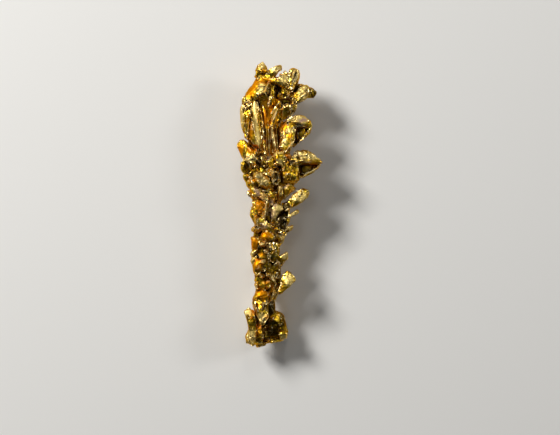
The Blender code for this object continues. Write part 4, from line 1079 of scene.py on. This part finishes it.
def native_gold():
    """Native gold, grown in a hot vein and only a little worn.

    To the eye: cream crests and pale faces of painted highlight, a brassy olive yellow between them, deep
    orange on the smooth faces, brown hollows and sheltered faces of painted shade, a thin dull residue in
    some hollows, and a sparkle of fine facets everywhere.
    """
    material = bpy.data.materials.new("native_gold")
    material.use_nodes = True
    tree = material.node_tree
    shader = tree.nodes["Principled BSDF"]
    place = add_node(tree, "ShaderNodeTexCoord").outputs["Object"]
    mark = {
        name: add_node(tree, "ShaderNodeAttribute", {"attribute_name": name}).outputs["Fac"]
        for name, _ in LAYERS
    }
    # Patches of different tone, about 0.9 mm across.
    tone = add_node(
        tree, "ShaderNodeTexNoise", None, {"Scale": 1100.0, "Detail": 4.0, "Roughness": 0.65},
        {"Vector": place},
    )
    base = add_node(tree, "ShaderNodeValToRGB", None, None, {"Fac": tone.outputs["Fac"]}, TONES)
    colour = base.outputs["Color"]
    for name, tint in LAYERS:
        layer = add_node(
            tree, "ShaderNodeMix", {"data_type": "RGBA"}, {"B": linear(tint)},
            {"A": colour, "Factor": mark[name]},
        )
        colour = layer.outputs["Result"]
    tree.links.new(colour, shader.inputs["Base Color"])
    # Gold keeps its colour where the skin is seen at a slant.
    shader.inputs["Specular Tint"].default_value = linear("#E8B050")
    # The residue covers the metal, so it reflects less of the room.
    scaled = {"operation": "MULTIPLY_ADD"}
    metal = add_node(tree, "ShaderNodeMath", scaled, {1: -0.4, 2: 1.0}, {0: mark["residue"]})
    tree.links.new(metal.outputs["Value"], shader.inputs["Metallic"])
    before = {}
    for name, more in ROUGHER:
        rough = add_node(
            tree, "ShaderNodeMath", scaled, {1: more, 2: METAL_ROUGHNESS}, {0: mark[name], **before}
        )
        before = {2: rough.outputs["Value"]}
    tree.links.new(before[2], shader.inputs["Roughness"])
    # Facets of 0.17 mm, drawn about three times as coarse as the real ones so that they show. Each leans its
    # own way: the colour of its cell, less a half, is added to the normal, less of it on the smooth faces.
    facets = add_node(tree, "ShaderNodeTexVoronoi", None, {"Scale": 6000.0}, {"Vector": place})
    way = add_node(
        tree, "ShaderNodeVectorMath", {"operation": "SUBTRACT"}, {1: (0.5, 0.5, 0.5)},
        {0: facets.outputs["Color"]},
    )
    amount = add_node(tree, "ShaderNodeMath", scaled, {1: -0.1, 2: 0.2}, {0: mark["satin_orange_and_rib_shade"]})
    lean = add_node(
        tree, "ShaderNodeVectorMath", {"operation": "SCALE"}, None,
        {0: way.outputs["Vector"], "Scale": amount.outputs["Value"]},
    )
    skin = add_node(tree, "ShaderNodeNewGeometry")
    leaning = add_node(
        tree, "ShaderNodeVectorMath", {"operation": "ADD"}, None,
        {0: lean.outputs["Vector"], 1: skin.outputs["Normal"]},
    )
    sparkle = add_node(
        tree, "ShaderNodeVectorMath", {"operation": "NORMALIZE"}, None, {0: leaning.outputs["Vector"]}
    )
    tree.links.new(sparkle.outputs["Vector"], shader.inputs["Normal"])
    return material


def add_nugget():
    """The nugget, which rides the solid's body and is shown in the solid's place."""
    mesh = nugget_mesh()
    nugget = bpy.data.objects.new("nugget_surface", mesh)
    bpy.context.scene.collection.objects.link(nugget)
    mesh.materials.append(native_gold())
    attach(nugget, "root")
    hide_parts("nugget")


def add_floor():
    """A plain pale floor, a flat square with its middle under the nugget."""
    reach = 0.6
    corners = [(-reach, -reach, 0), (reach, -reach, 0), (reach, reach, 0), (-reach, reach, 0)]
    mesh = bpy.data.meshes.new("floor")
    mesh.from_pydata(corners, [], [(0, 1, 2, 3)])
    floor = bpy.data.objects.new("floor", mesh)
    bpy.context.scene.collection.objects.link(floor)
    material = bpy.data.materials.new("matte_paper")
    material.use_nodes = True
    shader = material.node_tree.nodes["Principled BSDF"]
    shader.inputs["Base Color"].default_value = linear("#EFEDE8")
    shader.inputs["Roughness"].default_value = 0.9
    mesh.materials.append(material)


def add_light(name, place, size, watts):
    """A white square softbox at place, in metres, facing the nugget."""
    data = bpy.data.lights.new(name, "AREA")
    data.size = size
    data.energy = watts
    light = bpy.data.objects.new(name, data)
    light.location = place
    light.rotation_euler = (-Vector(place)).to_track_quat("-Z", "Y").to_euler()
    bpy.context.scene.collection.objects.link(light)


def add_lights():
    """A key light from the upper left, weak lights from the right, the crown and above, and a dim room."""
    add_light("key_softbox", (-0.24, 0.2, 0.26), 0.12, 1.6)
    add_light("side_softbox", (0.3, 0.1, 0.2), 0.08, 0.24)
    add_light("top_softbox", (0.04, 0.3, 0.36), 0.08, 0.12)
    add_light("overhead_softbox", (-0.02, 0.06, 0.5), 0.3, 0.12)
    world = bpy.data.worlds.new("dim_studio")
    world.use_nodes = True
    room = world.node_tree.nodes["Background"]
    room.inputs["Color"].default_value = linear("#8C8C8C")
    room.inputs["Strength"].default_value = 0.03
    bpy.context.scene.world = world
    bpy.context.scene.view_settings.view_transform = "Standard"


def add_camera():
    """The camera looks straight down. At the height of most of the front, its frame is the whole drawing."""
    square = GRID_MM * MM
    middle = (
        (FRAME_SQUARES[0] / 2 - DRAWING_MIDDLE[0]) * square,
        (DRAWING_MIDDLE[1] - FRAME_SQUARES[1] / 2) * square,
    )
    height = 0.3
    front_height = 0.006
    data = bpy.data.cameras.new("camera")
    data.sensor_width = 36
    data.lens = data.sensor_width * (height - front_height) / (FRAME_SQUARES[0] * square)
    data.clip_start = 0.01
    data.clip_end = 10
    camera = bpy.data.objects.new("camera", data)
    camera.location = (*middle, height)
    bpy.context.scene.collection.objects.link(camera)
    bpy.context.scene.camera = camera


add_nugget()
add_floor()
add_lights()
add_camera()
